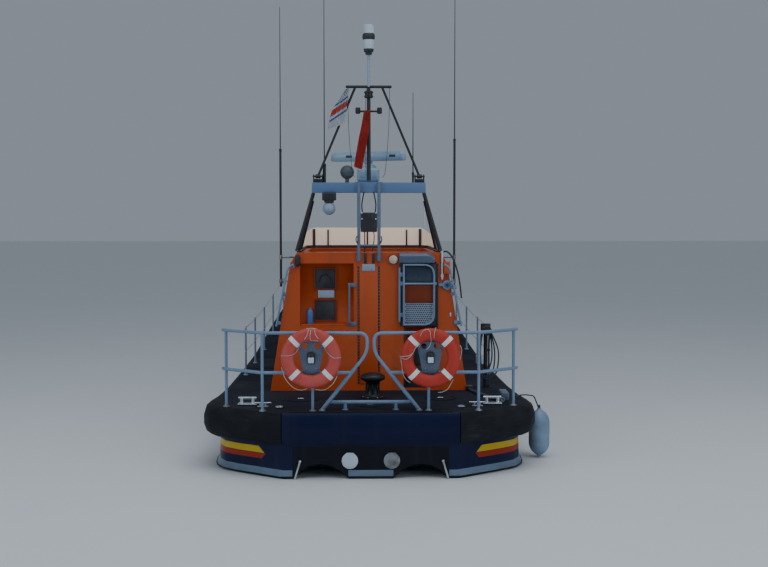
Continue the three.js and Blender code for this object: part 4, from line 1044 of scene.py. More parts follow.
class Studs(Wiring):
    """Copies of a small stud that faces aft, made with Geometry Nodes and then baked to a plain mesh.

    The group's named inputs are Radius, Height, Jitter, Seed and Finish, and each point of the source mesh
    carries the direction that its copy faces, in an attribute named aim.
    """

    seed = 3
    taper = 0.62

    def __init__(self, sides: int) -> None:
        """Builds the node group.

        Args:
            sides: Faces round a stud.
        """
        super().__init__(bpy.data.node_groups.new(f"studs_{sides}", "GeometryNodeTree"))
        self.tree.interface.new_socket(name="Geometry", in_out="OUTPUT", socket_type="NodeSocketGeometry")
        for name, kind in (("Geometry", "Geometry"), ("Radius", "Float"), ("Height", "Float"), ("Jitter", "Float"),
                           ("Seed", "Int"), ("Finish", "Material")):
            self.tree.interface.new_socket(name=name, in_out="INPUT", socket_type=f"NodeSocket{kind}")
        entry = self.node("NodeGroupInput").outputs
        points = self.node("GeometryNodeMeshToPoints", {"Mesh": entry["Geometry"]})
        aim = self.node("GeometryNodeInputNamedAttribute", {"Name": "aim"}, data_type="FLOAT_VECTOR")
        turn = self.node("FunctionNodeAlignRotationToVector", {"Vector": aim.outputs["Attribute"]}, axis="Z")
        wobble = self.node("FunctionNodeRandomValue", {"Seed": entry["Seed"]}, data_type="FLOAT")
        spread = self.node("ShaderNodeMath", {0: wobble.outputs[1], 1: entry["Jitter"], 2: 1.0},
                           operation="MULTIPLY_ADD")
        top = self.node("ShaderNodeMath", {0: entry["Radius"], 1: self.taper}, operation="MULTIPLY")
        stud = self.node("GeometryNodeMeshCone", {
            "Vertices": sides, "Radius Bottom": entry["Radius"], "Radius Top": top.outputs[0],
            "Depth": entry["Height"], "Side Segments": 2})
        placed = self.node("GeometryNodeInstanceOnPoints", {
            "Points": points.outputs[0], "Instance": stud.outputs[0], "Rotation": turn.outputs[0],
            "Scale": spread.outputs[0]})
        real = self.node("GeometryNodeRealizeInstances", {0: placed.outputs[0]})
        painted = self.node("GeometryNodeSetMaterial", {"Geometry": real.outputs[0], "Material": entry["Finish"]})
        self.node("NodeGroupOutput", {0: painted.outputs[0]})

    def make(self, name: str, finish: Finish, places: Sequence[Place], radius: float, height: float,
             jitter: float = 0.0, body: Body = Body.BOAT) -> None:
        """Places the copies and keeps them as one plain piece.

        Args:
            name: The piece's name.
            finish: Its finish.
            places: Where each copy stands.
            radius: Radius of a copy.
            height: Height of a copy.
            jitter: Random growth of the copies.
            body: The body that it rides on.
        """
        points = bpy.data.meshes.new(f"{name}_points")
        points.from_pydata(places, [], [])
        for datum in points.attributes.new("aim", "FLOAT_VECTOR", "POINT").data:
            datum.vector = AFT
        carrier = link(f"{name}_carrier", points)
        modifier = carrier.modifiers.new("studs", "NODES")
        modifier.node_group = self.tree
        wanted = {"Radius": radius, "Height": height, "Jitter": jitter, "Seed": self.seed,
                  "Finish": finish.material()}
        for item in self.tree.interface.items_tree:
            if item.name in wanted:
                modifier[item.identifier] = wanted[item.name]
        evaluated = carrier.evaluated_get(bpy.context.evaluated_depsgraph_get())
        baked = bpy.data.meshes.new_from_object(evaluated)
        bpy.data.objects.remove(carrier)
        bpy.data.meshes.remove(points)
        baked.name = name
        adopt(baked, body=body)


# The boat


@dataclass(frozen=True)
class Studio:
    """Camera, floor and lights.

    Args:
        eye: Where the camera stands.
        pitch: How far it looks down, in degrees.
        yaw: How far it looks to starboard, in degrees.
        lens: Focal length on a 36 mm sensor.
    """

    eye: Point = (-0.213, -22.32, 3.38)
    pitch: float = 3.22
    yaw: float = 1.43
    lens: float = 56.25

    def camera(self) -> None:
        """Adds the camera at the photograph's viewing angle."""
        data = bpy.data.cameras.new("camera")
        data.lens = self.lens
        data.sensor_width = 36.0
        data.clip_end = 200.0
        made = link("camera", data)
        made.location = self.eye
        made.rotation_euler = (math.radians(90 - self.pitch), 0, math.radians(-self.yaw))
        bpy.context.scene.camera = made

    def floor(self, half: float = 140.0) -> None:
        """Adds the pale floor at the waterline."""
        data = bpy.data.meshes.new("floor")
        data.from_pydata([(x, y, 0.0) for x, y in rectangle(-half, -half, half, half)], [], [range(4)])
        g = Graph("studio_floor")
        g.shade(g.blend(g.noise(0.4, 3), (0.78, 0.79, 0.8), (0.82, 0.825, 0.83)), 0.7)
        data.materials.append(g.material)
        link("floor", data)

    def lamp(self, name: str, place: Point, target: Point, size: float, power: float, colour: Colour) -> None:
        """Adds one soft area light.

        Args:
            name: Its name.
            place: Where it stands.
            target: Where it shines.
            size: Its edge length.
            power: Its power in watts.
            colour: Its colour.
        """
        data = bpy.data.lights.new(name, "AREA")
        data.shape = "SQUARE"
        data.size = size
        data.energy = power
        data.color = colour
        made = link(name, data)
        made.location = place
        made.rotation_euler = (Vector(target) - Vector(place)).to_track_quat("-Z", "Y").to_euler()

    def lights(self) -> None:
        """Adds the soft overcast light of the photograph and a pale world."""
        self.lamp("sky_panel", (2.0, -10.0, 16.0), (0, -5.0, 2.0), 14.0, 1050.0, (0.84, 0.93, 1.0))
        self.lamp("port_panel", (-14.0, -16.0, 8.0), (0, -6.0, 2.0), 8.0, 470.0, (0.8, 0.91, 1.0))
        self.lamp("starboard_panel", (12.0, -18.0, 6.0), (0, -6.0, 1.6), 8.0, 380.0, (0.88, 0.94, 1.0))
        world = bpy.data.worlds.new("studio")
        world.use_nodes = True
        back = world.node_tree.nodes["Background"]
        back.inputs["Color"].default_value = (0.7, 0.8, 0.92, 1.0)
        back.inputs["Strength"].default_value = 0.34
        bpy.context.scene.world = world


class Assembly:
    """A group of pieces that belong together on the boat."""

    def build(self) -> None:
        """Makes the group's pieces."""
        raise NotImplementedError


@dataclass
class HullAndDeck(Assembly):
    """Hull shell, deck plate, belting, transom panel and the small fittings on the transom.

    Args:
        studs: The stud maker.
    """

    studs: Studs

    def build(self) -> None:
        """Makes the group's pieces."""
        dress("hull", "hull_shell", Finish.LIVERY, 28)
        dress("deck", "deck_plate", Finish.DECK)
        for side in Side:
            name = f"belting_{side.label}"
            dress(name, f"rubber_{name}", Finish.RUBBER, 38)
            self.exhaust(side)
        self.panel()
        self.rods()
        self.hatches()

    def exhaust(self, side: Side) -> None:
        """A round flap with its hinge over an exhaust outlet."""
        name = f"exhaust_{side.label}"
        form = Form(Finish.PALE if side is Side.PORT else Finish.DULL_STEEL, side.value * 0.27, TRANSOM_Y, 0.24)
        form.turned([(0.098, 0), (0.105, 0.006), (0.105, 0.028), (0.092, 0.036), (0.04, 0.042), (0, 0.0446)],
                    (0, -GAP, 0), AFT, 36)
        form.rod((-0.05, -0.03, 0.098), (0.05, -0.03, 0.098), 0.008).piece(f"flap_{name}", name)

    def panel(self) -> None:
        """The blue panel across the transom, bare, with its screws."""
        low, high, half = 0.46, DECK_Z, 1.14
        section = [(0, low), (0, high), (-0.06, high), (-0.1, high - 0.06), (-0.1, low + 0.06), (-0.06, low)]
        form = Form(Finish.NAVY, 0, TRANSOM_Y - GAP, 0)
        form.skin([[(x, y, z) for y, z in section] for x in (-half, half)]).piece("panel_transom", "transom_panel")
        places = [((i / 6 - 1) * (half - 0.06), TRANSOM_Y - 0.101, z)
                  for z in (low + 0.12, high - 0.12) for i in range(13)]
        self.studs.make("panel_screws", Finish.NAVY, places, 0.006, 0.004)

    def rods(self) -> None:
        """The thin light rods that stand off the transom down to the waterline."""
        form = Form(Finish.STEEL)
        for x, lean in ((-0.91, -0.09), (0.93, 0.09)):
            form.at(x, TRANSOM_Y - 0.03, 0.235).tube([(0, 0, 0), (lean, 0, -0.305)], 0.013)
            form.tube([(0, 0.04, 0), (0, 0, 0)], 0.011).ball((0, 0, 0), 0.02)
        form.piece("transom_rods")

    def hatches(self) -> None:
        """Flush deck hatches with their lifting bars, and the strip along the deck's after edge."""
        form = Form(Finish.DECK, 0, TRANSOM_Y, DECK_Z).block((-1.05, 0.02, -0.004), (1.05, 0.07, 0.01), 0.004)
        for x, y, radius in ((-0.95, 1.15, 0.25), (0.98, 1.2, 0.22), (0, 0.62, 0.2)):
            form.at(x, ahead(y), DECK_Z).use(Finish.RUBBER)
            form.plate(circle(radius, 40), level, (0, 0.008), holes=[circle(radius - 0.03, 40)])
            form.use(Finish.DECK).plate(circle(radius - 0.034, 40), level, (0, 0.007))
            form.use(Finish.STEEL).rod((-0.04, 0, 0.01), (0.04, 0, 0.01), 0.006)
        form.piece("deck_hatches")


class LooseLines(Assembly):
    """The rope hung on the quarter post and the hose on the deck beside it."""

    def build(self) -> None:
        """Makes the group's pieces."""
        self.rope()
        self.hose()

    def rope(self) -> None:
        """The rope that comes up the post and hangs over its drum in three bights, down to its stopper knot."""
        x, post_y = QUARTER_POST
        y, pitch = post_y - 0.056, 0.034
        over = ((0.04, 1.75), (0, 1.767), (-0.04, 1.75), (-0.057, DRUM_Z))
        knots = [*[(x + ROPE_FOOT, post_y, z) for z in (DECK_Z + 0.002, 1.15, 1.45)],
                 (x + 0.056, post_y - 0.035, 1.6), (x + 0.058, y, 1.7), *[(x + dx, y - 0.001, z) for dx, z in over]]
        for left, right, low in ((0.1, 0.085, 1.12), (0.085, 0.12, 1.03), (0.115, 0.17, 1.0)):
            bight = ((-left, 0.3, 1.42), (-left * 0.85, 0.4, low + 0.12), (-left * 0.4, 0.46, low + 0.025),
                     (0, 0.5, low), (right * 0.45, 0.54, low + 0.025), (right * 0.9, 0.6, low + 0.13),
                     (right, 0.7, 1.42), (0.057, 0.9, 1.7),
                     *[(dx, share, z) for (dx, z), share in zip(over, (0.93, 0.96, 0.99, 1.02))])
            knots += [(x + dx, y - share * pitch, z) for dx, share, z in bight]
            y -= pitch
        knots += [(x - 0.1, y - 0.01, 1.42), (x - 0.105, y - 0.012, 1.17)]
        knot = Form(Finish.DARK_ROPE).turned(
            [(0, 0.004), (0.017, 0), (0.022, -0.009), (0.018, -0.016), (0.023, -0.024), (0.018, -0.031),
             (0.021, -0.039), (0.012, -0.046), (0.012, -0.09), (0, -0.092)], knots[-1], sides=20)
        self.line("post_rope", knots, 0.0105, "limp", "hanging", "knot", knot.piece("rope_knot", smooth=60))

    def hose(self) -> None:
        """The hose from its outlet on the deck to the coupling at its far end."""
        route = ((1.45, 1.9, 0.0245), (1.475, 1.74, 0.024), (1.53, 1.52, 0.023), (1.61, 1.3, 0.023),
                 (1.69, 1.08, 0.024), (1.742, 0.92, 0.029), (1.772, 0.82, 0.036))
        knots = [(x, ahead(y), DECK_Z + z) for x, y, z in route]
        coupling = Form(Finish.DULL_STEEL).turned(
            [(0.026, -0.03), (0.028, -0.026), (0.028, 0.004), (0.024, 0.008), (0.024, 0.02), (0.034, 0.024),
             (0.034, 0.062), (0.03, 0.066), (0.022, 0.066), (0.022, 0.05)],
            knots[-1], Vector(knots[-1]) - Vector(knots[-2]), 24)
        self.line("deck_hose", knots, 0.022, "medium", "loose", "fitting", coupling.piece("hose_coupling"))

    def line(self, name: str, knots: Sequence[Point], radius: float, stiffness: str, lay: str, far_end: str,
             end: bpy.types.Object) -> None:
        """One line of round section, declared with the length of its own route.

        Args:
            name: The piece's name.
            knots: The points that it runs through, from the boat to its far end.
            radius: Its radius.
            end: The piece on its far end; not used.
        """
        path = smooth_path(knots)
        length = sum((b - a).length for a, b in zip(path, path[1:]))
        made = Form(Finish.DARK_ROPE).sweep(path, circle(radius, 12)).piece(name, smooth=60)


class Underwater(Assembly):
    """Propellers, shaft brackets, rudders, the engines over them and the anodes beside them."""

    def build(self) -> None:
        """Makes the group's pieces."""
        for side in Side:
            for kind, finish, body in (("propeller", Finish.BRONZE, Body[f"{side.name}_SCREW"]),
                                       ("shaft_bracket", Finish.BRONZE, Body.BOAT),
                                       ("rudder", Finish.BRONZE, Body[f"{side.name}_RUDDER"]),
                                       ("engine", Finish.ENGINE, Body.BOAT)):
                name = f"{kind}_{side.label}"
                dress(name, f"cast_{name}", finish, body=body)
        form = Form(Finish.DULL_STEEL, 0, TRANSOM_Y, 0)
        form.boxes((-1.02, 1.02), 0.11, (-0.03, -0.3), (0.01, -0.18), 0.012, 3).piece("anodes")


class Wheelhouse(Assembly):
    """Deckhouse shell, its glass, and what shows through it."""

    def build(self) -> None:
        """Makes the group's pieces."""
        dress("deckhouse", "house_shell", Finish.ORANGE, 32)
        dress("front_glass", "glass_front", Finish.GLASS, 20)
        for side in Side:
            name = f"side_glass_{side.label}"
            dress(name, f"pane_{name}", Finish.GLASS, 20)
            self.seat(side)
        self.console()
        self.hatch()
        self.door()

    def console(self) -> None:
        """The steering console with sloping desk, screens and a wheel."""
        form = Form(Finish.PLASTIC).node("cabin_console").use(Finish.GLASS)
        for x in (-0.55, -0.05, 0.45):
            form.at(x, ahead(6.73), 1.765).plate(rectangle(-0.17, -0.12, 0.17, 0.12), on_desk, (0, 0.012))
        form.use(Finish.PLASTIC).at(0, ahead(6.5), 1.45).hoop(0.17, 0.014, 24, 10, FORWARD)
        form.rod((0, 0, 0), (0, 0.08, 0), 0.03).rod((-0.16, 0, 0), (0.16, 0, 0), 0.01)
        form.piece("steering_console", "cabin_console", smooth=30)

    def seat(self, side: Side) -> None:
        """A seat with its pedestal and its two stuffed cushions."""
        x, y, label = side.value * 0.48, ahead(5.5), side.label
        base = Form(Finish.DULL_STEEL, x, y, 0)
        base.block((-0.14, 0.12, DECK_Z + 0.012), (0.14, 0.38, 1.27), 0.01)
        base.block((-0.22, 0.02, 1.27), (0.22, 0.48, 1.285), 0.004)
        base.use(Finish.PLASTIC).pins([(arm, 0.06, 1.5) for arm in (-0.225, 0.225)], (0, 0.28, 0.02), 0.02, 20)
        base.piece(f"seat_frame_{label}", f"seat_{label}")
        half = 0.235
        for kind, near, far, low, high in (("cushion", 0.035, 0.49, 1.29, 1.415),
                                           ("back", -0.075, 0.03, 1.34, 2.05)):
            pad = self.pad(f"seat_{kind}_{label}", (x - half, y + near, low), (x + half, y + far, high))

    def pad(self, name: str, low: Point, high: Point) -> bpy.types.Object:
        """A stuffed block: full in the middle of each face, drawn in at its seam.

        Args:
            name: The piece's name.
            low: Its lowest corner.
            high: Its highest corner.

        Returns:
            The piece.
        """
        form = Form(Finish.SEAT)
        middle, half = (Vector(low) + Vector(high)) / 2, (Vector(high) - Vector(low)) / 2
        bmesh.ops.create_cube(form.mesh, size=2.0)
        bmesh.ops.subdivide_edges(form.mesh, edges=list(form.mesh.edges), cuts=9, use_grid_fill=True)
        thin = min(range(3), key=lambda axis: half[axis])
        wide = [axis for axis in range(3) if axis != thin]
        for vert in form.mesh.verts:
            edge = max(abs(vert.co[axis]) for axis in wide)
            crown = 1.0 - 0.45 * edge ** 6
            tuft = 0.06 * (math.sin(vert.co[wide[0]] * 7.5) ** 2) * (1 - edge ** 2)
            shrink = 1.0 - 0.035 * abs(vert.co[thin]) ** 2
            place = [vert.co[axis] * half[axis] * (shrink if axis != thin else crown - tuft) for axis in range(3)]
            vert.co = middle + Vector(place)
        return form.piece(name, smooth=70)

    def hatch(self) -> None:
        """The forward hatch lid with its hinges."""
        _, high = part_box("forward_hatch")
        form = Form(Finish.HOOD).node("forward_hatch").use(Finish.STEEL).at(0, high.y, high.z)
        form.boxes((-0.2, 0.2), 0.03, (-0.1, -0.105), (-0.03, -0.085), 0.003)
        form.piece("lid_forward_hatch", "forward_hatch", body=Body.HATCH, smooth=30)

    def door(self) -> None:
        """The companion door with the rubber seal of its window."""
        pane = rectangle(-0.53, 2.32, -0.14, 2.62)
        form = Form(Finish.ORANGE, 0, ahead(4.0), 0).node("companion_door").use(Finish.RUBBER)
        form.plate(rectangle(-0.55, 2.3, -0.12, 2.64), across, (0, 0.008), holes=[pane])
        form.use(Finish.GLASS).plate(pane, across, (0.001, 0.007))
        form.piece("leaf_companion_door", "companion_door", body=Body.CABIN_DOOR, smooth=30)


@dataclass
class AftWall(Assembly):
    """Everything fixed to the aft wall of the deckhouse.

    Args:
        studs: The stud maker.
    """

    studs: Studs

    def build(self) -> None:
        """Makes the group's pieces."""
        self.column()
        self.alcove()
        self.hood()
        self.starboard_wing()
        self.grab_rails()
        self.lamp()

    def column(self) -> None:
        """The raised centre strip with its bolted grooves, louvres and bare plate."""
        grooves, low, high = (-0.151, 0.146), 0.96, 2.66
        form = Form(Finish.ORANGE, 0, HOUSE_AFT, 0).block((-0.135, -0.012, low), (0.13, 0.01, high), 0.004)
        form.use(Finish.PLASTIC).boxes(grooves, 0.012, (-0.004, low), (0.01, high), 0.002)
        form.boxes((-0.05, 0.066), 0.018, (-0.016, 2.7), (0.02, 2.845), 0.004)
        form.use(Finish.ALLOY).block((-0.098, -0.018, 2.59), (0.089, -0.008, 2.69), 0.004).piece("centre_strip")
        places = [(x, HOUSE_AFT - 0.006, low + 0.03 + i * 0.045) for x in grooves for i in range(37)]
        self.studs.make("strip_bolts", Finish.DULL_STEEL, places, 0.008, 0.007, 0.15)

    def alcove(self) -> None:
        """Two dark recessed lights in the port alcove, the bare plate, the ledge, a blue bottle and the bar."""
        form = Form(Finish.ORANGE, 0, HOUSE_AFT + 0.11, 0)
        for low, high in ((2.332, 2.614), (1.877, 2.159)):
            pane = rectangle(-0.773, low, -0.487, high)
            # painted shade: the frames round the two dark squares take the shaded copy of the orange, for the shade
            # inside the alcove
            form.use(Finish.DARK_ORANGE)
            form.plate(rectangle(-0.795, low - 0.02, -0.465, high + 0.02), across, (-0.02, 0), holes=[pane])
            form.use(Finish.PLASTIC).plate(pane, across, (-0.006, 0), 0.001)
        arch = [(-0.63 + u, -0.014, 2.42 + v) for u, v in circle(0.09, 24, 4 / 3)[:13]]
        form.use(Finish.BLACK).tube(arch, 0.008)
        form.use(Finish.ALLOY).block((-0.735, -0.014, 2.2), (-0.4995, -0.002, 2.31), 0.003)
        form.use(Finish.ORANGE).block((-0.985, -0.095, 1.8), (-0.225, 0, 1.822))
        form.use(Finish.BLUE).turned([(0.04, 0), (0.044, 0.012), (0.044, 0.17), (0.034, 0.195), (0.018, 0.21),
                                      (0.018, 0.235)], (-0.845, -0.052, 1.823)).piece("alcove_fittings")
        low, high = 1.828, 2.389
        rail = Form(Finish.POST, -0.282, HOUSE_AFT, 0)
        rail.tube([(0, 0.01, high), (0, -0.06, high), (0, -0.06, low), (0, 0.01, low)], 0.014, 0.04)
        for z in (high, low):
            rail.block((-0.02, -0.014, z - 0.03), (0.1, 0.002, z + 0.03), 0.004)
        rail.use(Finish.PLASTIC).ball((-0.739, -0.03, 2.74), 0.05, (0.85, 0.7, 1.8)).piece("alcove_grab_bar")

    def hood(self) -> None:
        """The blue-grey hood over the gate, black blocks that paint the shade round its opening and in the stairwell
        below, and the treads of the steps.
        """
        low, high = 2.71, 2.852
        section = [(0.012, high), (-0.06, high - 0.008), (-0.1, high - 0.045), (-0.105, low + 0.01), (-0.1, low),
                   (-0.088, low), (-0.05, high - 0.04), (0.012, high - 0.04)]
        form = Form(Finish.HOOD, 0, HOUSE_AFT, 0)
        form.skin([[(x, y * (1 - drop * 4), z - drop * (z - low) / 0.14) for y, z in section]
                   for x, drop in ((0.43, 0.02), (0.44, 0), (0.82, 0), (0.9, 0.014), (0.945, 0.05))])
        # painted shade: black blocks line the opening's sides and the stairwell's walls and risers, where the doorway
        # lies in shade
        form.use(Finish.PLASTIC).blocks(
            (0.452, -0.006, 1.8, 0.499, 0.02, 2.7, 0.003), (0.972, -0.006, 1.74, 1.0, 0.02, 2.7, 0.003),
            (0.499, 0.002, 0.902, 0.53, 0.09, 1.79, 0.003), (0.939, 0.002, 0.902, 0.97, 0.09, 1.79, 0.003),
            (0.499, 0.084, 0.902, 0.971, 0.0895, 1.199, 0.002), (0.499, 0.154, 1.201, 0.971, 0.1595, 1.489, 0.002))
        form.use(Finish.DECK)
        for z, near, far in ((0.9, 0.004, 0.086), (1.2, 0.094, 0.156), (1.49, 0.164, 0.4), (1.78, 0.42, 0.7)):
            form.block((0.53, near, z), (0.94, far, z + 0.008), 0.003)
        form.piece("gate_hood")

    def starboard_wing(self) -> None:
        """Fittings on the starboard wing: a round valve, a lamp, a box, a post and hinge blocks."""
        form = Form(Finish.GREY, 1.126, HOUSE_AFT, 2.389)
        form.rod((0, 0.01, 0), (0, -0.03, 0), 0.068, sides=28)
        form.use(Finish.BLUE).rod((0, -0.025, 0), (0, -0.045, 0), 0.04, sides=24)
        form.use(Finish.PLASTIC).rod((0, -0.04, 0), (0, -0.052, 0), 0.02)
        form.use(Finish.GREY).at(0, HOUSE_AFT, 0).blocks(
            (1.19, -0.03, 2.33, 1.262, 0.01, 2.385, 0.008), (1.225, -0.035, 1.82, 1.33, 0.01, 1.875, 0.008),
            (1.0, -0.028, 2.37, 1.075, 0.01, 2.41, 0.008))
        form.use(Finish.PALE).block((1.164, -0.03, 1.93), (1.186, 0.01, 1.988), 0.008)
        form.tube([(1.054, -0.03, 2.47), (1.054, -0.03, 2.88)], 0.014)
        form.block((1.034, -0.04, 2.5), (1.074, 0.01, 2.54))
        form.use(Finish.ORANGE).block((1.075, -0.075, 2.55), (1.165, 0.01, 2.73), 0.012, 3)
        cable = [(1.054, -0.02, 2.86), (1.12, -0.03, 2.87), (1.19, -0.03, 2.8), (1.25, -0.05, 2.66),
                 (1.3, -0.06, 2.45), (1.33, -0.06, 2.2)]
        form.use(Finish.PLASTIC).tube(cable, 0.012, smooth=True)
        form.piece("starboard_wing_fittings")

    def grab_rails(self) -> None:
        """The bent grab rails at the wall's two outer edges, with their stand-offs."""
        for side in Side:
            sign = side.value
            form = Form(Finish.GREY, 0, HOUSE_AFT, 0)
            bends = ((1.075, 2.69), (1.16, 2.64), (1.23, 2.3), (1.33, 1.8))
            form.tube([(sign * x, -0.07, z) for x, z in bends], 0.015, 0.06)
            for x, z in ((1.12, 2.662), (1.238, 2.26), (1.322, 1.84)):
                root = (sign * (x - 0.03), 0.004, z)
                form.rod((sign * x, -0.07, z), root, 0.012).rod((sign * (x - 0.029), -0.01, z), root, 0.028)
            form.piece(f"grab_tube_{side.label}", f"grab_rail_{side.label}")

    def lamp(self) -> None:
        """The round beige lamp over the wall and its bracket."""
        form = Form(Finish.BEIGE, 0.35, HOUSE_AFT, 2.756)
        form.turned([(0.05, 0), (0.063, 0.016), (0.06, 0.036), (0.03, 0.05), (0, 0.054)], (0, -0.03, 0), AFT)
        form.use(Finish.PLASTIC).rod((0, 0.02, 0), (0, -0.032, 0), 0.066, sides=28).piece("beige_lamp")


@dataclass
class AftGate(Assembly):
    """The hinged gate of the upper steering position.

    Args:
        holes: The maker of the perforated panel's dark discs.
        hinge_x: X of its hinge.
        left: X of the frame's inner tube.
        right: X of the frame's outer tube.
        edge: X of the leaf's outer edge.
        aft: Y of its hinge.
        reach: Radius of the panels' rounded corners.
    """

    holes: Studs
    hinge_x: float = 0.44
    left: float = 0.5
    right: float = 0.934
    edge: float = 0.97
    aft: float = HOUSE_AFT - 0.046
    reach: float = 0.15

    def build(self) -> None:
        """Makes the group's pieces."""
        hinge, left, right, edge, out, face = self.hinge_x, self.left, self.right, self.edge, -0.04, 0.012
        low, bottom, sill, middle, top, high = 1.8, 1.82, 2.125, 2.41, 2.68, 2.7
        form = Form(Finish.GREY, 0, self.aft, 0)
        form.tube([(left, out, top), (right, out, top), (right, out, bottom), (left, out, bottom)], 0.014, self.reach)
        form.rod((left, out, bottom - 0.013), (left, out, top + 0.013), 0.015)
        form.rod((left - 0.02, out, middle), (edge, out, middle), 0.014)
        form.block((edge - 0.045, out - 0.012, middle - 0.02), (edge, out + 0.03, middle + 0.02))
        form.rod((left, out, sill), (right, out, sill), 0.006)
        for z in (top - 0.14, bottom + 0.14, middle):
            form.rod((left, out, z), (left, 0.02, z), 0.014)
            form.block((hinge - 0.01, -0.012, z - 0.03), (left + 0.01, 0.012, z + 0.03), 0.004)
        form.rod((hinge, 0, low + 0.06), (hinge, 0, high - 0.06), 0.016)
        form.use(Finish.PLASTIC).plate(rectangle(hinge + 0.012, low, edge, high), across, (face, face + 0.026))
        # painted shade: the middle panel takes the shaded copy of the orange, standing in for the orange wall behind
        # the gate in shade
        for finish, outline in ((Finish.DARK_PANE, self.rounded(middle, top, 1)),
                                (Finish.DARK_ORANGE, rectangle(left, sill, right, middle)),
                                (Finish.ALLOY, self.rounded(sill, bottom, -1))):
            form.use(finish).plate(outline, across, (face - 0.006, face + 0.001), 0.002)
        form.piece("gate_leaf", "aft_gate", body=Body.GATE)
        places = []
        for j in range(10):
            for i in range(14):
                x, z = left + 0.032 + i * 0.03 + (j % 2) * 0.015, bottom + 0.026 + j * 0.029
                corner = Vector((x - right + self.reach, z - bottom - self.reach))
                inside = corner.x < 0 or corner.y > 0 or corner.length < self.reach - 0.022
                if x < right - 0.019 and inside:
                    places.append((x, self.aft + face - 0.0065, z))
        self.holes.make("gate_perforations", Finish.PLASTIC, places, 0.0105, 0.0016, body=Body.GATE)

    def rounded(self, flat: float, far: float, way: int) -> list[tuple[float, float]]:
        """A panel between the frame's tubes with one rounded outer corner.

        Args:
            flat: Z of its straight edge.
            far: Z of the edge that ends in the rounding.
            way: 1 where that edge is above the straight one, -1 where it is below.

        Returns:
            The outline.
        """
        arc = [(self.right - self.reach + u, far - way * (self.reach - v)) for u, v in circle(self.reach, 32)[:9]]
        return [(self.left, flat), (self.right, flat), *arc, (self.left, far)]


@dataclass
class SternRails(Assembly):
    """The two bent stern rails with their feet, sleeves and the low bar between them."""

    tube: float = 0.022
    top: float = 1.875
    bend: float = 1.62
    mid: float = 1.36

    def build(self) -> None:
        """Makes the group's pieces."""
        for side in Side:
            self.rail(side)
        self.low_bar()

    def rail(self, side: Side) -> None:
        """One rail, bent down to the deck beside the middle of the stern."""
        def on(place: tuple[float, float], z: float) -> Point:
            """A place on this side."""
            return (side.value * place[0], place[1], z)

        end, corner, quarter, post = (1.95, 0.6), (1.905, 0.54), (1.4, 0.14), (0.75, 0.12)
        inner, inner_mid, slant = (0.045, 0.1), (0.255, 0.12), (0.63, 0.16)
        form = Form(Finish.GREY, 0, TRANSOM_Y, 0)
        route = [on(place, self.top) for place in (end, corner, quarter, inner)]
        form.tube([*route, on(inner, self.bend), on(slant, DECK_Z + 0.0104)], self.tube, 0.11, 16)
        form.tube([on(place, self.mid) for place in (end, corner, quarter, inner_mid)], self.tube, 0.06, 16)
        for place in (corner, quarter, post):
            form.rod(on(place, DECK_Z + GAP), on(place, self.top), self.tube * 0.9, sides=16)
        lower, upper = Vector(on(slant, DECK_Z + 0.01)), Vector(on(inner, self.bend))
        form.rod(lower.lerp(upper, 0.02), lower.lerp(upper, 0.72), self.tube * 1.18, sides=16)
        for z in (self.top, self.mid):
            form.ball(on(end, z), self.tube)
        form.ball(on(inner_mid, self.mid), self.tube * 1.02).use(Finish.DULL_STEEL)
        for place in (corner, quarter, post, slant):
            form.at(side.value * place[0], ahead(place[1]), DECK_Z)
            form.turned([(0.046, 0), (0.046, 0.008), (0.04, 0.0144), (0.027, 0.0144), (0.023, 0.03)], (0, 0, GAP),
                        sides=24)
            form.pins([(u, v, 0.012) for u, v in circle(0.034, 4, lead=0.5)], (0, 0, 0.008), 0.006)
        form.piece(f"stern_tube_{side.label}", f"stern_rail_{side.label}")

    def low_bar(self) -> None:
        """The low bar on two legs at the middle of the stern."""
        form = Form(Finish.GREY, 0, ahead(0.23), 0).rod((-0.54, 0, 0.96), (0.54, 0, 0.96), 0.026)
        for x in (-0.33, 0.33):
            form.rod((x, 0, DECK_Z + GAP), (x, 0, 0.955), 0.024, sides=18)
            form.turned([(0.042, 0), (0.042, 0.006), (0.03, 0.01)], (x, 0, DECK_Z + 0.0005), sides=20)
        form.use(Finish.STEEL).pins([(x - 0.008, 0, 0.96) for x in (-0.53, 0.53)], (0.016, 0, 0), 0.0275, 20)
        form.piece("low_stern_bar", "low_bar")


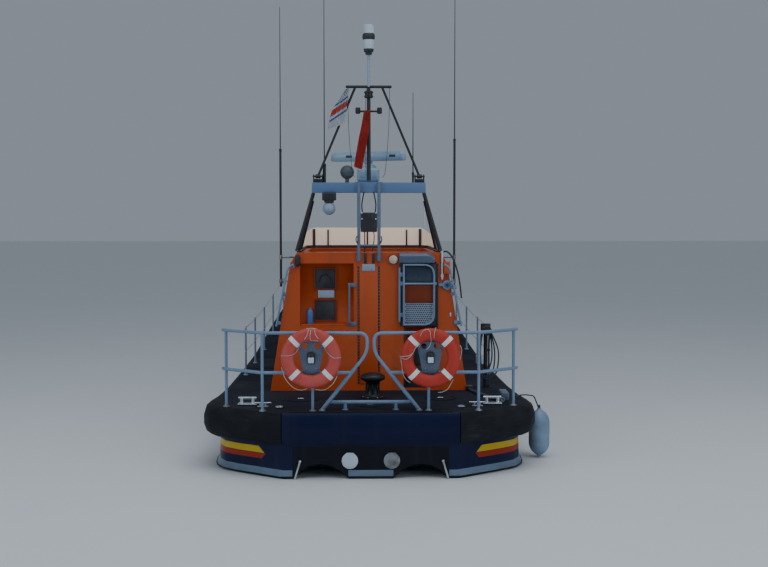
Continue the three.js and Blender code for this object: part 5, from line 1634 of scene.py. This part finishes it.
@dataclass
class Lifebuoys(Assembly):
    """The two lifebuoys with their grab ropes, brackets and lights."""

    x: float = 0.765
    y: float = TRANSOM_Y - 0.006
    z: float = 1.565
    bracket_z: float = 1.545
    ring: float = 0.302
    tube: float = 0.082
    flat: float = 0.6

    def build(self) -> None:
        """Makes the group's pieces."""
        self.buoy(Side.PORT, Finish.FOAM_PORT, (
            ((-0.38, 0.44), (-0.456, 0.253), (-0.566, 0.144), (-0.7, 0.1), (-0.87, 0.093), (-1.0, 0.085)),
            ((0.38, 0.456), (0.498, 0.253), (0.617, 0.118), (0.75, 0.025), (0.87, 0.02), (1.0, 0.025)),
            ((-0.985, -0.304), (-0.887, -0.625), (-0.752, -0.828), (-0.566, -0.997), (-0.33, -1.07),
             (-0.127, -1.01)),
            ((0.87, -0.59), (0.769, -0.794), (0.617, -0.963), (0.414, -1.07), (0.144, -1.045)),
            ((-0.076, 0.97), (-0.118, 0.794), (-0.211, 0.642)),
            ((0, 0.95), (-0.025, 0.743), (0, 0.608), (0.093, 0.583), (0.245, 0.591)),
            ((0.118, 0.94), (0.16, 0.794), (0.253, 0.659)),
            ((-0.16, 0.985), (0, 1.0), (0.177, 0.985)),
        ))
        self.buoy(Side.STARBOARD, Finish.FOAM_STARBOARD, (
            ((-0.484, 0.43), (-0.557, 0.233), (-0.664, 0.085), (-0.828, -0.03), (-1.0, 0.02)),
            ((-1.02, 0.05), (-0.86, 0.07), (-0.72, 0.09), (-0.6, 0.17)),
            ((-1.0, 0), (-0.96, -0.26), (-0.91, -0.554), (-0.81, -0.734), (-0.68, -0.833)),
            ((-0.352, 0.741), (-0.27, 0.897), (-0.123, 0.962), (-0.033, 0.905), (-0.005, 0.725), (0.016, 0.544),
             (-0.04, 0.38), (-0.14, 0.274)),
            ((0.107, 0.675), (0.123, 0.856), (0.18, 1.02)),
            ((0.99, 0.42), (1.04, 0.28), (1.03, 0.118), (0.98, -0.046)),
            ((0.762, -0.718), (0.664, -0.915), (0.55, -1.07), (0.385, -1.15), (0.254, -1.16)),
        ))
        for side in Side:
            self.bracket(side)

    def buoy(self, side: Side, foam: Finish, routes: Sequence[Outline]) -> None:
        """One ring and the ropes on it.

        Args:
            side: Its side.
            foam: The finish of its cover.
            routes: The ropes, as points across and up from the ring's middle in shares of its outer radius.
        """
        origin = (side.value * self.x, self.y, self.z)
        form = Form(foam, *origin)
        form.turned([(self.ring + u, v) for u, v in circle(self.tube, 20, self.flat)], axis=AFT, sides=72, ring=True)
        form.piece(f"ring_{side.label}", f"lifebuoy_{side.label}", smooth=60)
        rope = Form(Finish.ROPE, *origin)
        for route in routes:
            path = smooth_path([(u, v, 0) for u, v in route])
            rope.sweep([self.on_ring(point.x, point.y) for point in path], circle(0.0042, 8))
        rope.piece(f"ring_rope_{side.label}")

    def on_ring(self, u: float, v: float) -> Vector:
        """A place just outside a ring's after face, across and up in shares of its outer radius."""
        outer = self.ring + self.tube
        off = (math.hypot(u, v) * outer - self.ring) / self.tube
        rise = self.flat * self.tube * math.sqrt(max(0.0, 1 - off * off)) + 0.005
        return Vector((u * outer, -rise, v * outer))

    def bracket(self, side: Side) -> None:
        """The tapered plate with two lightening holes, the light and its holders."""
        outline = [(-0.172, 0.19), (-0.145, 0.222), (0.145, 0.222), (0.172, 0.19), (0.099, -0.19), (-0.099, -0.19)]
        holes = [[(x + u, 0.165 + v) for u, v in circle(0.036, 20)] for x in (-0.082, 0.082)]
        form = Form(Finish.POST, side.value * self.x, TRANSOM_Y, self.bracket_z)
        form.plate(outline, across, (0.05, 0.062), 0.003, holes).block((-0.02, 0, 0), (0.02, 0.062, 0.03), 0.003)
        for z in (-0.1, 0.1):
            form.boxes((side.value * -0.015,), 0.016, (0.056, z - 0.016), (0.099, z + 0.016), 0.004)
        light = [(0.044, -0.054), (0.052, -0.046), (0.052, 0.06), (0.043, 0.09), (0.03, 0.097)]
        form.use(Finish.PLASTIC).turned(light)
        form.use(Finish.PALE).block((-0.038, -0.056, -0.043), (0.038, -0.03, 0.033), 0.012, 3)
        screws = [(x, 0.05, z) for x, z in ((-0.06, -0.12), (0.06, -0.12), (0, 0.12), (-0.14, 0.16), (0.14, 0.16))]
        form.use(Finish.STEEL).pins(screws, (0, -0.006, 0), 0.008)
        form.piece(f"ring_bracket_{side.label}", f"buoy_bracket_{side.label}")


@dataclass
class SideRails(Assembly):
    """Stanchions and wires along each side, and the bow rail.

    Args:
        stanchions: X, Y ahead of the transom, Z of the foot and height of each stanchion.
        bow: X, Y ahead of the transom and Z of the foot of each bow rail point.
        bow_height: Height of the bow rail over its feet.
    """

    stanchions: tuple[tuple[float, float, float, float], ...] = (
        (1.927, 3.65, 0.86, 0.77), (1.902, 5.16, 0.867, 0.78), (1.867, 6.8, 0.912, 0.79),
        (1.8, 8.2, 1.065, 0.78), (1.67, 9.5, 1.32, 0.77), (1.454, 10.7, 1.597, 0.76),
        (1.122, 11.8, 1.841, 0.75), (0.773, 12.7, 1.999, 0.74),
    )
    bow: tuple[Point, ...] = ((0.694, 12.9, 2.03), (0.417, 13.45, 2.11), (0.174, 13.85, 2.163))
    bow_height: float = 0.76

    def build(self) -> None:
        """Makes the group's pieces."""
        for side in Side:
            self.side(side)
        self.bow_rail()

    def side(self, side: Side) -> None:
        """One side's stanchions, feet and wires."""
        sign = side.value
        form = Form(Finish.GREY, 0, TRANSOM_Y, 0)
        for x, y, z, high in self.stanchions:
            foot, top = (sign * x, y, z + GAP), (sign * x, y, z + high)
            form.rod(foot, top, 0.016, sides=14)
            form.turned([(0.042, 0), (0.042, 0.008), (0.036, 0.016), (0.024, 0.02), (0.02, 0.06)], foot, sides=20)
            form.ball(top, 0.0165, (1, 1, 0.6))
        form.use(Finish.STEEL)
        for share in (1.0, 0.52):
            line = [Vector((sign * x, y, z + high * share - 0.012)) for x, y, z, high in self.stanchions]
            for start, end in zip(line, line[1:]):
                form.tube([start, start.lerp(end, 0.5) - Vector((0, 0, 0.008)), end], 0.005, sides=8, smooth=True)
            for place in line:
                form.ball(place, 0.0195, (0.9, 0.9, 0.6))
        form.piece(f"guard_wires_{side.label}", f"side_rail_{side.label}")

    def bow_rail(self) -> None:
        """The bent rail round the bow."""
        high = self.bow_height
        form = Form(Finish.GREY, 0, TRANSOM_Y, 0)
        starboard = [(x, y, z + high) for x, y, z in self.bow]
        form.tube([*starboard, *[(-x, y, z) for x, y, z in reversed(starboard)]], 0.02, 0.09, 14)
        for x, y, z in self.bow[:2]:
            feet = [(sign * x, y, z + GAP) for sign in SIGNS]
            form.pins(feet, (0, 0, high - GAP), 0.018, 14).pins(feet, (0, 0, 0.012 - GAP), 0.04, 18)
        for sign in SIGNS:
            form.ball((sign * starboard[0][0], *starboard[0][1:]), 0.0205)
        form.piece("bow_tube", "bow_rail")


class DeckGear(Assembly):
    """Capstan, fairleads, cleats, the gear on the starboard quarter and the hanging fender."""

    def build(self) -> None:
        """Makes the group's pieces."""
        self.capstan()
        for side in Side:
            self.fairlead(side)
        self.quarter_gear()
        self.fender()
        self.cleats()

    def capstan(self) -> None:
        """The mushroom capstan with whelps and the bolts of its foot."""
        form = Form(Finish.BLACK, 0.04, ahead(1.14), DECK_Z + GAP)
        form.turned([(0.15, 0), (0.15, 0.03), (0.12, 0.036), (0.095, 0.06), (0.088, 0.13), (0.085, 0.2),
                     (0.095, 0.235), (0.11, 0.25), (0.16, 0.272), (0.17, 0.284), (0.17, 0.316), (0.16, 0.33),
                     (0.12, 0.355), (0.05, 0.368), (0, 0.37)], sides=48)
        form.pins([(u, v, 0.075) for u, v in circle(0.09, 8)], (0, 0, 0.14), 0.009, 10)
        form.use(Finish.STEEL).pins([(u, v, 0.028) for u, v in circle(0.13, 6)], (0, 0, 0.012), 0.01)
        form.piece("capstan_head", "capstan", smooth=45)

    def fairlead(self, side: Side) -> None:
        """A chromed twin-horn fairlead."""
        form = Form(Finish.STEEL, side.value * 1.64, ahead(0.68), DECK_Z)
        form.block((-0.13, -0.06, GAP), (0.13, 0.06, 0.022), 0.008, 3)
        for x in (-0.075, 0.075):
            form.turned([(0.036, 0.011), (0.027, 0.03), (0.024, 0.05), (0.024, 0.085), (0.02, 0.1), (0, 0.105)],
                        (x, 0, 0), sides=24)
        form.rod((-0.125, 0, 0.092), (0.125, 0, 0.092), 0.017, sides=18, soft=0.006)
        form.pins([(x, y, 0.02) for x in (-0.11, 0.11) for y in (-0.042, 0.042)], (0, 0, 0.008), 0.008)
        form.piece(f"horns_{side.label}", f"fairlead_{side.label}")

    def cleats(self) -> None:
        """Low cleats and eyes by the quarters."""
        form = Form(Finish.STEEL)
        for sign in SIGNS:
            form.at(sign * 1.42, ahead(0.5), DECK_Z).block((-0.07, -0.03, 0), (0.07, 0.03, 0.012), 0.004)
            form.pins([(x, 0, 0.01) for x in (-0.035, 0.035)], (0, 0, 0.04), 0.012, 20)
            form.rod((-0.11, 0, 0.052), (0.11, 0, 0.052), 0.011, soft=0.004)
            form.at(sign * 1.2, ahead(0.42), DECK_Z + 0.012).hoop(0.045, 0.009, 20, 8)
        form.piece("quarter_cleats")

    def quarter_gear(self) -> None:
        """The dark post with the drum that holds the rope, its pale box and the fittings of rope and hose."""
        form = Form(Finish.BLACK, *QUARTER_POST, 0).tube([(0, 0, DECK_Z), (0, 0, 1.79)], 0.03)
        form.block((-0.07, -0.04, 1.7), (0.07, 0.05, 1.8), 0.01)
        form.rod((0, -0.03, DRUM_Z), (0, -0.2, DRUM_Z), 0.044).rod((0, -0.196, DRUM_Z), (0, -0.206, DRUM_Z), 0.07)
        for high, radius in ((0.012, 0.042), (0.035, 0.022)):
            form.rod((ROPE_FOOT, 0, DECK_Z), (ROPE_FOOT, 0, DECK_Z + high), radius)
        for z in (1.08, 1.4):
            form.block((0.015, -0.018, z), (0.068, 0.018, z + 0.025), 0.005)
        form.block((-0.32, -0.35, DECK_Z), (-0.22, -0.25, DECK_Z + 0.07), 0.012, 3)
        form.use(Finish.PALE).block((-0.135, -0.03, 1.2), (-0.03, 0.09, 1.33), 0.012, 3)
        form.use(Finish.HOOD).block((0.07, -1.35, DECK_Z), (0.18, -1.0, DECK_Z + 0.12), 0.02, 3)
        form.piece("quarter_post")

    def fender(self) -> None:
        """The long pale fender that hangs over the starboard quarter, with its lanyard."""
        x, low, high = 2.38, 0.015, 0.69
        end = [(0, 0), (0.028, 0), (0.034, 0.018), (0.056, 0.034), (0.09, 0.06), (0.12, 0.1), (0.138, 0.142),
               (0.145, 0.185)]
        form = Form(Finish.FENDER, 0, ahead(1.35), 0)
        form.turned([*end, *[(r, high - low - h) for r, h in reversed(end)]], (x, 0, low), sides=44)
        form.use(Finish.DARK_ROPE).tube([(x, 0, high - 0.02), (2.3, -0.02, 0.87), (2.16, -0.07, 0.892),
                                         (1.975, -0.2, 0.888)], 0.009, 0.045, 10)
        for i in range(4):
            form.rod((x, 0, high - 0.005 + i * 0.014), (x, 0, high + 0.008 + i * 0.014), 0.019 - 0.002 * i)
        form.piece("hung_fender", "hanging_fender", smooth=60)


@dataclass
class UpperSteering(Assembly):
    """The windscreen round the upper steering position, its base and the console behind it."""

    half: float = 1.015
    front: float = 4.36
    radius: float = 0.3

    def build(self) -> None:
        """Makes the group's pieces."""
        dress("upper_screen", "milky_screen", Finish.SCREEN)
        dress("screen_base", "screen_rail", Finish.MAROON)
        self.bars()
        self.posts()
        self.console()

    def on_corner(self, sign: int, turn: float, reach: float) -> tuple[float, float, int]:
        """A place on a front corner's arc, at a turn from the side and a distance from the arc's middle."""
        middle = self.half - self.radius
        y = ahead(self.front - self.radius) + reach * math.sin(turn)
        return (sign * (middle + reach * math.cos(turn)), y, 0)

    def bars(self) -> None:
        """The brown uprights at the corners and the thin dark ones between them, inside the sheet."""
        form = Form(Finish.MAROON)
        for sign in SIGNS:
            form.at(*self.on_corner(sign, 0.95, self.radius - 0.046))
            form.rod((0, 0, 2.9), (0, 0, 3.17), 0.024, sides=14)
        for x, top in ((-0.636, 3.16), (0.006, 3.12), (0.646, 3.16)):
            form.at(x, ahead(self.front) - 0.03, 0).block((-0.013, -0.008, 2.9), (0.013, 0.008, top), 0.003)
        form.piece("screen_bars")

    def posts(self) -> None:
        """The two thin pale posts outside the corners of the sheet, with their clips on its base."""
        form = Form(Finish.WHITE)
        for sign in SIGNS:
            form.at(*self.on_corner(sign, math.pi / 4, self.radius + 0.003))
            form.rod((0, 0, 2.8605), (0, 0, 3.585), 0.01, sides=14).ball((0, 0, 3.575), 0.0125)
            form.block((-0.02, -0.02, 2.87), (0.02, 0.02, 2.9), 0.005)
        form.piece("screen_posts")

    def console(self) -> None:
        """The upper console with instruments and a wheel."""
        form = Form(Finish.PLASTIC).node("upper_console")
        slope = Vector((0, -0.673, 0.74))
        for x in (0.28, 0.49, 0.7):
            form.at(x, ahead(3.75), 2.7)
            form.use(Finish.DULL_STEEL).rod(slope * -0.004, slope * 0.01, 0.055, sides=24)
            form.use(Finish.GLASS).rod((0, 0, 0), slope * 0.0115, 0.046, sides=24)
        form.use(Finish.PLASTIC).at(0.49, ahead(3.56), 2.36).hoop(0.19, 0.015, 28, 10, FORWARD)
        form.rod((0, 0, 0), (0, 0.1, 0), 0.035)
        rim = circle(0.19, 28)
        for i in (2, 12, 21):
            form.rod((0, 0, 0), across(*rim[i], 0), 0.009)
        form.piece("upper_desk", "upper_console", smooth=30)


class Arch(Assembly):
    """The arch over the deckhouse: legs, beam, radar shelf, lugs and the twin posts with their box."""

    def build(self) -> None:
        """Makes the group's pieces."""
        for side in Side:
            self.leg(side)
        self.beam()
        self.posts()

    def beam(self) -> None:
        """The pale beam with the radar shelf, its black lugs and the lamp that hangs from it."""
        low, high, ear = 3.712, BEAM_TOP, 3.955
        form = Form(Finish.BEAM, 0, MAST_Y, 0).block((-0.817, -0.09, low), (0.817, 0.09, high), 0.008)
        form.block((-0.2, 0, high - 0.012), (0.2, 1.0, high + 0.012), 0.004)
        for x in (-0.16, 0.16):
            form.plate([(0, low + 0.01), (0, high), (0.98, high)], along, (x - 0.006, x + 0.006), 0.002)
        form.use(Finish.BLACK)
        cheek = [(-0.045, high - 0.005), (0.045, high - 0.005), (0.045, ear), (0.03, 3.978), (-0.03, 3.978),
                 (-0.045, ear)]
        hole = [(u, PIVOT_Z + v) for u, v in circle(0.015, 16)]
        for x in (lug + side for lug in (-LUG_X, LUG_X) for side in (-0.062, 0.062)):
            form.plate(cheek, along, (x - 0.008, x + 0.008), 0.002, [hole])
        form.boxes((-LUG_X, LUG_X), 0.054, (-0.045, high - 0.005), (0.045, 3.912), 0.003)
        form.use(Finish.PLASTIC).block((-0.668, -0.16, 3.602), (-0.468, -0.02, 3.71), 0.012, 3)
        form.rod((-0.57, -0.09, 3.57), (-0.57, -0.09, 3.606), 0.07, sides=24)
        form.use(Finish.ALLOY).ball((-0.57, -0.09, 3.487), 0.093).piece("beam_arch", "arch_beam", smooth=30)

    def leg(self, side: Side) -> None:
        """One leg with its brace, pads and bolts."""
        sign, step, name = side.value, 0.42, f"arch_leg_{side.label}"
        form = Form(Finish.BLACK, 0, MAST_Y, 0).node(name)
        form.rod((sign * 1.03, 0, 2.88), (sign * 0.795, 0, 3.711), 0.0265)
        form.rod((sign * 1.0, step, 2.88), (sign * 0.805, 0, 3.592), 0.0205, sides=16)
        bolts = [(sign + x, foot + y, 2.882) for foot in (0, step) for x in (-0.026, 0.026) for y in (-0.04, 0.04)]
        form.use(Finish.STEEL).pins(bolts, (0, 0, 0.01), 0.007).piece(f"tube_{name}", name)

    def posts(self) -> None:
        """The twin posts, their cross bars, the black box with its bolts, hooks and wires."""
        y = TRANSOM_Y + 1.916
        wall, beam = HOUSE_AFT - GAP - y, MAST_Y - 0.0904 - y
        form = Form(Finish.POST, 0, y, 0)
        for x in (-POST_X, POST_X):
            form.rod((x, 0, 2.727), (x, 0, 3.862), 0.024, sides=18)
            form.rod((x, 0, 2.735), (x, 0, 2.765), 0.029, sides=18)
            for low, high, end in ((2.76, 2.82, wall), (3.735, 3.835, beam)):
                form.block((x - 0.034, 0, low), (x + 0.034, end, high), 0.005)
        form.pins([(-POST_X, 0, z) for z in (2.96, 3.4)], (2 * POST_X, 0, 0), 0.014, 14)
        form.use(Finish.PLASTIC).block((-0.118, -0.016, 3.15), (0.118, 0.094, 3.43), 0.014, 3)
        corners = [(x, -0.01, z) for x in (-0.1, 0.1) for z in (3.338, 3.424)]
        form.use(Finish.PALE).pins(corners, (0, -0.012, 0), 0.011, 12)
        form.use(Finish.BLACK).tube([(-0.06, 0.03, 3.15), (-0.06, 0.03, 2.86)], 0.008)
        form.tube([(0.07, 0.03, 3.15), (0.075, 0.02, 3.05), (0.05, 0.03, 2.87)], 0.007, smooth=True)
        for sign in SIGNS:
            form.tube([(sign * POST_X, 0, 2.99), (sign * 0.17, -0.035, 3.0), (sign * 0.185, -0.045, 3.05),
                       (sign * 0.175, -0.04, 3.09)], 0.008, smooth=True)
            form.tube([(sign * 0.09, 0.02, 3.42), (sign * 0.1, 0.03, 3.55), (sign * 0.07, 0.035, 3.72)], 0.009,
                      smooth=True)
        form.piece("post_frame", "arch_posts")


@dataclass
class Mast(Assembly):
    """The folding mast, its lamps and masthead antenna.

    Args:
        arm_z: Height of its cross arm.
        arm_half: Half the length of its cross arm.
    """

    arm_z: float = 5.23
    arm_half: float = 0.31

    def build(self) -> None:
        """Makes the group's pieces."""
        self.poles()
        self.antenna()

    def poles(self) -> None:
        """The pole, struts, cross arms, eyes and lamps."""
        arm, half = self.arm_z, self.arm_half
        form = Form(Finish.BLACK, 0, MAST_Y, 0).rod((0, 0, 3.89), (0, 0, arm), 0.03, 0.026, 24)
        form.rod((-half, 0, arm), (half, 0, arm), 0.02, sides=16)
        form.rod((-0.155, 0, 4.88), (0.155, 0, 4.88), 0.014, sides=14)
        for sign in SIGNS:
            x = sign * LUG_X
            form.rod((x, 0, PIVOT_Z), (sign * 0.19, 0, arm), 0.017, sides=16)
            form.rod((x - 0.036, 0, PIVOT_Z), (x + 0.036, 0, PIVOT_Z), 0.03, sides=24)
            lamp = [(0.028, 0), (0.036, 0.012), (0.036, 0.075), (0.026, 0.09)]
            form.turned(lamp, (sign * 0.155, 0, 4.845), sides=20)
            form.ball((sign * half, 0, arm), 0.0215)
        form.pins([(x - 0.078, 0, PIVOT_Z) for x in (-LUG_X, LUG_X)], (0.156, 0, 0), 0.012, 14)
        form.use(Finish.ALLOY).rod((0, 0, 5.225), (0, 0, 5.685), 0.023, 0.019)
        form.use(Finish.BLACK).turned([(0.055, 0), (0.066, 0.012), (0.066, 0.03), (0.056, 0.036), (0.056, 0.066),
                                       (0.066, 0.072), (0.066, 0.088), (0.05, 0.1)], (0, 0, 5.07))
        form.use(Finish.DARK_ROPE)
        stay = ((0.3, -0.02, 5.21), (0.285, -0.026, 4.6), (0.24, -0.03, 4.05), (0.2, -0.03, 3.93))
        halyard = ((-0.035, -0.03, 5.2), (-0.045, -0.034, 4.9), (-0.046, -0.038, 4.3), (-0.04, -0.036, 3.96))
        for line in (*[[(sign * x, y, z) for x, y, z in stay] for sign in SIGNS], halyard):
            form.tube(line, 0.0035, sides=6, smooth=True)
        form.piece("mast_poles", "mast", body=Body.MAST)

    def antenna(self) -> None:
        """The white masthead antenna with its dark ring and foot."""
        form = Form(Finish.PALE, 0, MAST_Y, 5.6854)
        form.turned([(0.07, 0.078), (0.076, 0.09), (0.076, 0.395), (0.07, 0.418), (0.05, 0.428), (0, 0.43)],
                    sides=36)
        form.use(Finish.PLASTIC).turned([(0.045, 0), (0.05, 0.036), (0.068, 0.042), (0.073, 0.081)], sides=32)
        form.turned([(0, 0.21), (0.078, 0.212), (0.088, 0.228), (0.09, 0.256), (0.087, 0.285), (0.078, 0.3),
                     (0, 0.302)], sides=36).piece("masthead_whip", "masthead_antenna", body=Body.MAST)


@dataclass
class Radar(Assembly):
    """Radar gearbox on its shelf, the turning bar, and the satellite dome beside it."""

    y: float = TRANSOM_Y + 2.85

    def build(self) -> None:
        """Makes the group's pieces."""
        form = Form(Finish.SCANNER, 0, self.y, 0).block((-0.17, -0.19, 3.884), (0.17, 0.16, 4.1), 0.05, 5)
        form.turned([(0.125, 0), (0.12, 0.03), (0.09, 0.048), (0, 0.056)], (0, 0, 4.0995), sides=32)
        form.block((-0.13, -0.196, 3.95), (0.13, -0.17, 4.05), 0.012, 3)
        form.boxes((-0.13, 0.13), 0.025, (-0.12, 3.8724), (0.12, 3.894), 0.004)
        screws = [(x, -0.186, z) for x in (-0.14, 0.14) for z in (3.93, 4.06)]
        form.use(Finish.STEEL).pins(screws, (0, -0.01, 0), 0.01).piece("gear_radar", "radar_gearbox", smooth=32)
        self.bar()
        self.dome()

    def bar(self) -> None:
        """The scanner bar on its boss, turned as it stood, with ends that are rounded and fall away."""
        turn, half, base, height, end = math.radians(-25), 0.61, 4.202, 0.143, 0.07
        run = Vector((math.cos(turn), math.sin(turn), 0))
        out = Vector((-run.y, run.x, 0))
        section = [(-0.75, 0), (0.75, 0), (1, 0.16), (1, 0.7), (0.8, 0.92), (0.45, 1), (-0.45, 1), (-0.8, 0.92),
                   (-1, 0.7), (-1, 0.16)]
        form = Form(Finish.SCANNER, 0, self.y, 0)
        rows = []
        for i in range(-12, 13):
            reach = math.copysign(1 - (1 - abs(i) / 12) ** 2.2, i) * half
            past = max(0.0, abs(reach) - half + end) / end
            width, high = 0.06 * (1 - 0.55 * past ** 3), height * (1 - 0.38 * past ** 2.5)
            middle = Vector((0, 0, base + 0.002 + 0.012 * past ** 2)) + run * reach
            high -= 0.014 * past
            rows.append([middle + out * (u * width) + Vector((0, 0, v * high)) for u, v in section])
        form.skin(rows).rod((0, 0, 4.166), (0, 0, 4.21), 0.07, sides=32).use(Finish.PLASTIC)
        for reach in (-0.29, 0.42):
            middle = Vector((0, 0, 4.275)) + run * reach - out * 0.0605
            corners = [middle + run * u + Vector((0, 0, v)) for u, v in rectangle(-0.05, -0.018, 0.05, 0.018)]
            form.skin([corners, [corner - out * 0.0008 for corner in corners]])
        form.piece("scanner_bar", "radar_bar", body=Body.RADAR, smooth=40)

    def dome(self) -> None:
        """The round grey dome on its stem."""
        x, y, middle = -0.311, TRANSOM_Y + 2.06, 4.0094
        form = Form(Finish.DOME, x, y, middle).ball((0, 0, 0), 0.1).at(x, y, BEAM_TOP + GAP)
        form.rod((0, 0, 0), (0, 0, 0.056), 0.028).rod((0, 0, 0), (0, 0, 0.008), 0.03)
        seam = [(0.1005, -0.008), (0.1025, -0.004), (0.1025, 0.004), (0.1005, 0.008), (0.096, 0)]
        form.at(x, y, middle).turned(seam, sides=40, ring=True).piece("dome_arch", "arch_dome")


@dataclass
class Whips(Assembly):
    """The four whip antennas with their brackets.

    Args:
        rows: Name, X, distance ahead, Z of the foot and tip, radius and top Z of the thick part.
    """

    rows: tuple[tuple[str, float, float, float, float, float, float], ...] = (
        ("whip_port", -1.29, 2.4, 2.34, 6.42, 0.017, 4.35),
        ("whip_starboard", 1.265, 2.4, 2.34, 7.0, 0.017, 4.5),
        ("arch_whip_port", -0.64, 2.112, BEAM_TOP + GAP, 6.88, 0.024, 4.12),
        ("arch_whip_starboard", 0.64, 2.112, BEAM_TOP + GAP, 5.16, 0.014, 4.0),
    )

    def build(self) -> None:
        """Makes the group's pieces."""
        for name, x, far, low, high, radius, thick in self.rows:
            form = Form(Finish.BLACK, x, ahead(far), 0).rod((0, 0, low), (0, 0, thick), radius, sides=14)
            form.rod((0, 0, thick - 0.01), (0, 0, high), 0.009, 0.004, 10, 0.001)
            form.rod((0, 0, thick - 0.03), (0, 0, thick + 0.012), radius + 0.003, sides=14)
            if not name.startswith("arch"):
                form.use(Finish.DULL_STEEL)
                for z, wall in ((2.775, 1.085), (2.42, 1.176)):
                    form.rod((0, 0, z), (math.copysign(wall, x) - x, 0, z), 0.014, sides=12)
                    form.rod((0, 0, z - 0.03), (0, 0, z + 0.03), radius + 0.008, sides=14)
            form.piece(f"rod_{name}", name)


@dataclass
class Flags(Assembly):
    """The furled ensign and the signal flag, as cloth that hangs from the mast.

    Args:
        y: Y of the halyards.
        rows: Faces down each flag.
        columns: Faces across each flag.
        thick: Thickness of the cloth.
    """

    y: float = TRANSOM_Y + 1.985
    rows: int = 40
    columns: int = 36
    thick: float = 0.0012

    def build(self) -> None:
        """Makes the group's pieces."""
        self.cloth("ensign_cloth", "ensign", Finish.RED_CLOTH,
                   [(0.024, 4.895), (0.008, 4.65), (-0.03, 4.4), (-0.068, 4.2), (-0.1, 4.045)],
                   [(-0.07, 4.88), (-0.104, 4.68), (-0.142, 4.5), (-0.182, 4.28), (-0.213, 4.085)], 7, 0.011)
        self.cloth("signal_cloth", "signal_flag", Finish.WHITE_CLOTH,
                   [(-0.285, 5.2), (-0.297, 5.07), (-0.31, 4.95), (-0.32, 4.82), (-0.33, 4.7)],
                   [(-0.33, 5.19), (-0.43, 5.04), (-0.52, 4.9), (-0.56, 4.76), (-0.59, 4.62)], 4, 0.012)

    def cloth(self, name: str, node: str, finish: Finish, near: Outline, far: Outline, folds: int,
              deep: float) -> None:
        """One flag as a folded sheet between its near and its far edge.

        Args:
            name: The piece's name.
            node: The CAD node that it stands for.
            finish: Its finish.
            near: X and Z down the edge by the halyard.
            far: X and Z down the other edge.
            folds: Folds between the two edges.
            deep: Depth of a fold.
        """
        steps = self.rows // (len(near) - 1)
        first, last = (smooth_path([(x, 0, z) for x, z in edge], steps) for edge in (near, far))
        mesh = bmesh.new()
        layer = mesh.loops.layers.uv.new("UVMap")
        grid = []
        for j, (a, b) in enumerate(zip(first, last)):
            t = j / self.rows
            row = []
            for i in range(self.columns + 1):
                u = i / self.columns
                tied = math.sin(math.pi * min(1.0, u * 6 + 0.1) / 2)
                wave = math.sin(u * folds * math.tau + t * 2.2) * deep * tied
                curl = math.sin(t * 9 + u * 5) * deep * 0.3
                place = a.lerp(b, u)
                row.append(mesh.verts.new((place.x, self.y + wave * 0.85 + curl * 0.4, place.z + curl * 0.2)))
            grid.append(row)
        for j in range(self.rows):
            for i in range(self.columns):
                face = mesh.faces.new((grid[j][i], grid[j][i + 1], grid[j + 1][i + 1], grid[j + 1][i]))
                for loop, (di, dj) in zip(face.loops, ((0, 0), (1, 0), (1, 1), (0, 1))):
                    loop[layer].uv = ((i + di) / self.columns, 1 - (j + dj) / self.rows)
        area = sum(face.calc_area() for face in mesh.faces)
        length = sum((b - a).length for a, b in zip(first, first[1:]))
        bmesh.ops.solidify(mesh, geom=list(mesh.faces), thickness=self.thick)
        bmesh.ops.recalc_face_normals(mesh, faces=mesh.faces)
        data = bpy.data.meshes.new(name)
        mesh.to_mesh(data)
        mesh.free()
        data.materials.append(finish.material())
        made = adopt(data, (node,), Body.MAST, 60)
        round(area / length, 3)


def main() -> None:
    """Builds the whole scene."""
    logging.basicConfig(level=logging.INFO, format="%(message)s")
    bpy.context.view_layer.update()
    studio = Studio()
    studio.camera()
    studs = Studs(6)
    groups: list[Assembly] = [
        LooseLines(), HullAndDeck(studs), Underwater(), Wheelhouse(), AftWall(studs), AftGate(Studs(12)),
        SternRails(), Lifebuoys(), SideRails(), DeckGear(), UpperSteering(), Arch(), Mast(), Radar(), Whips(),
        Flags(),
    ]
    for group in groups:
        group.build()
    studio.floor()
    studio.lights()


if __name__ == "__main__":
    main()
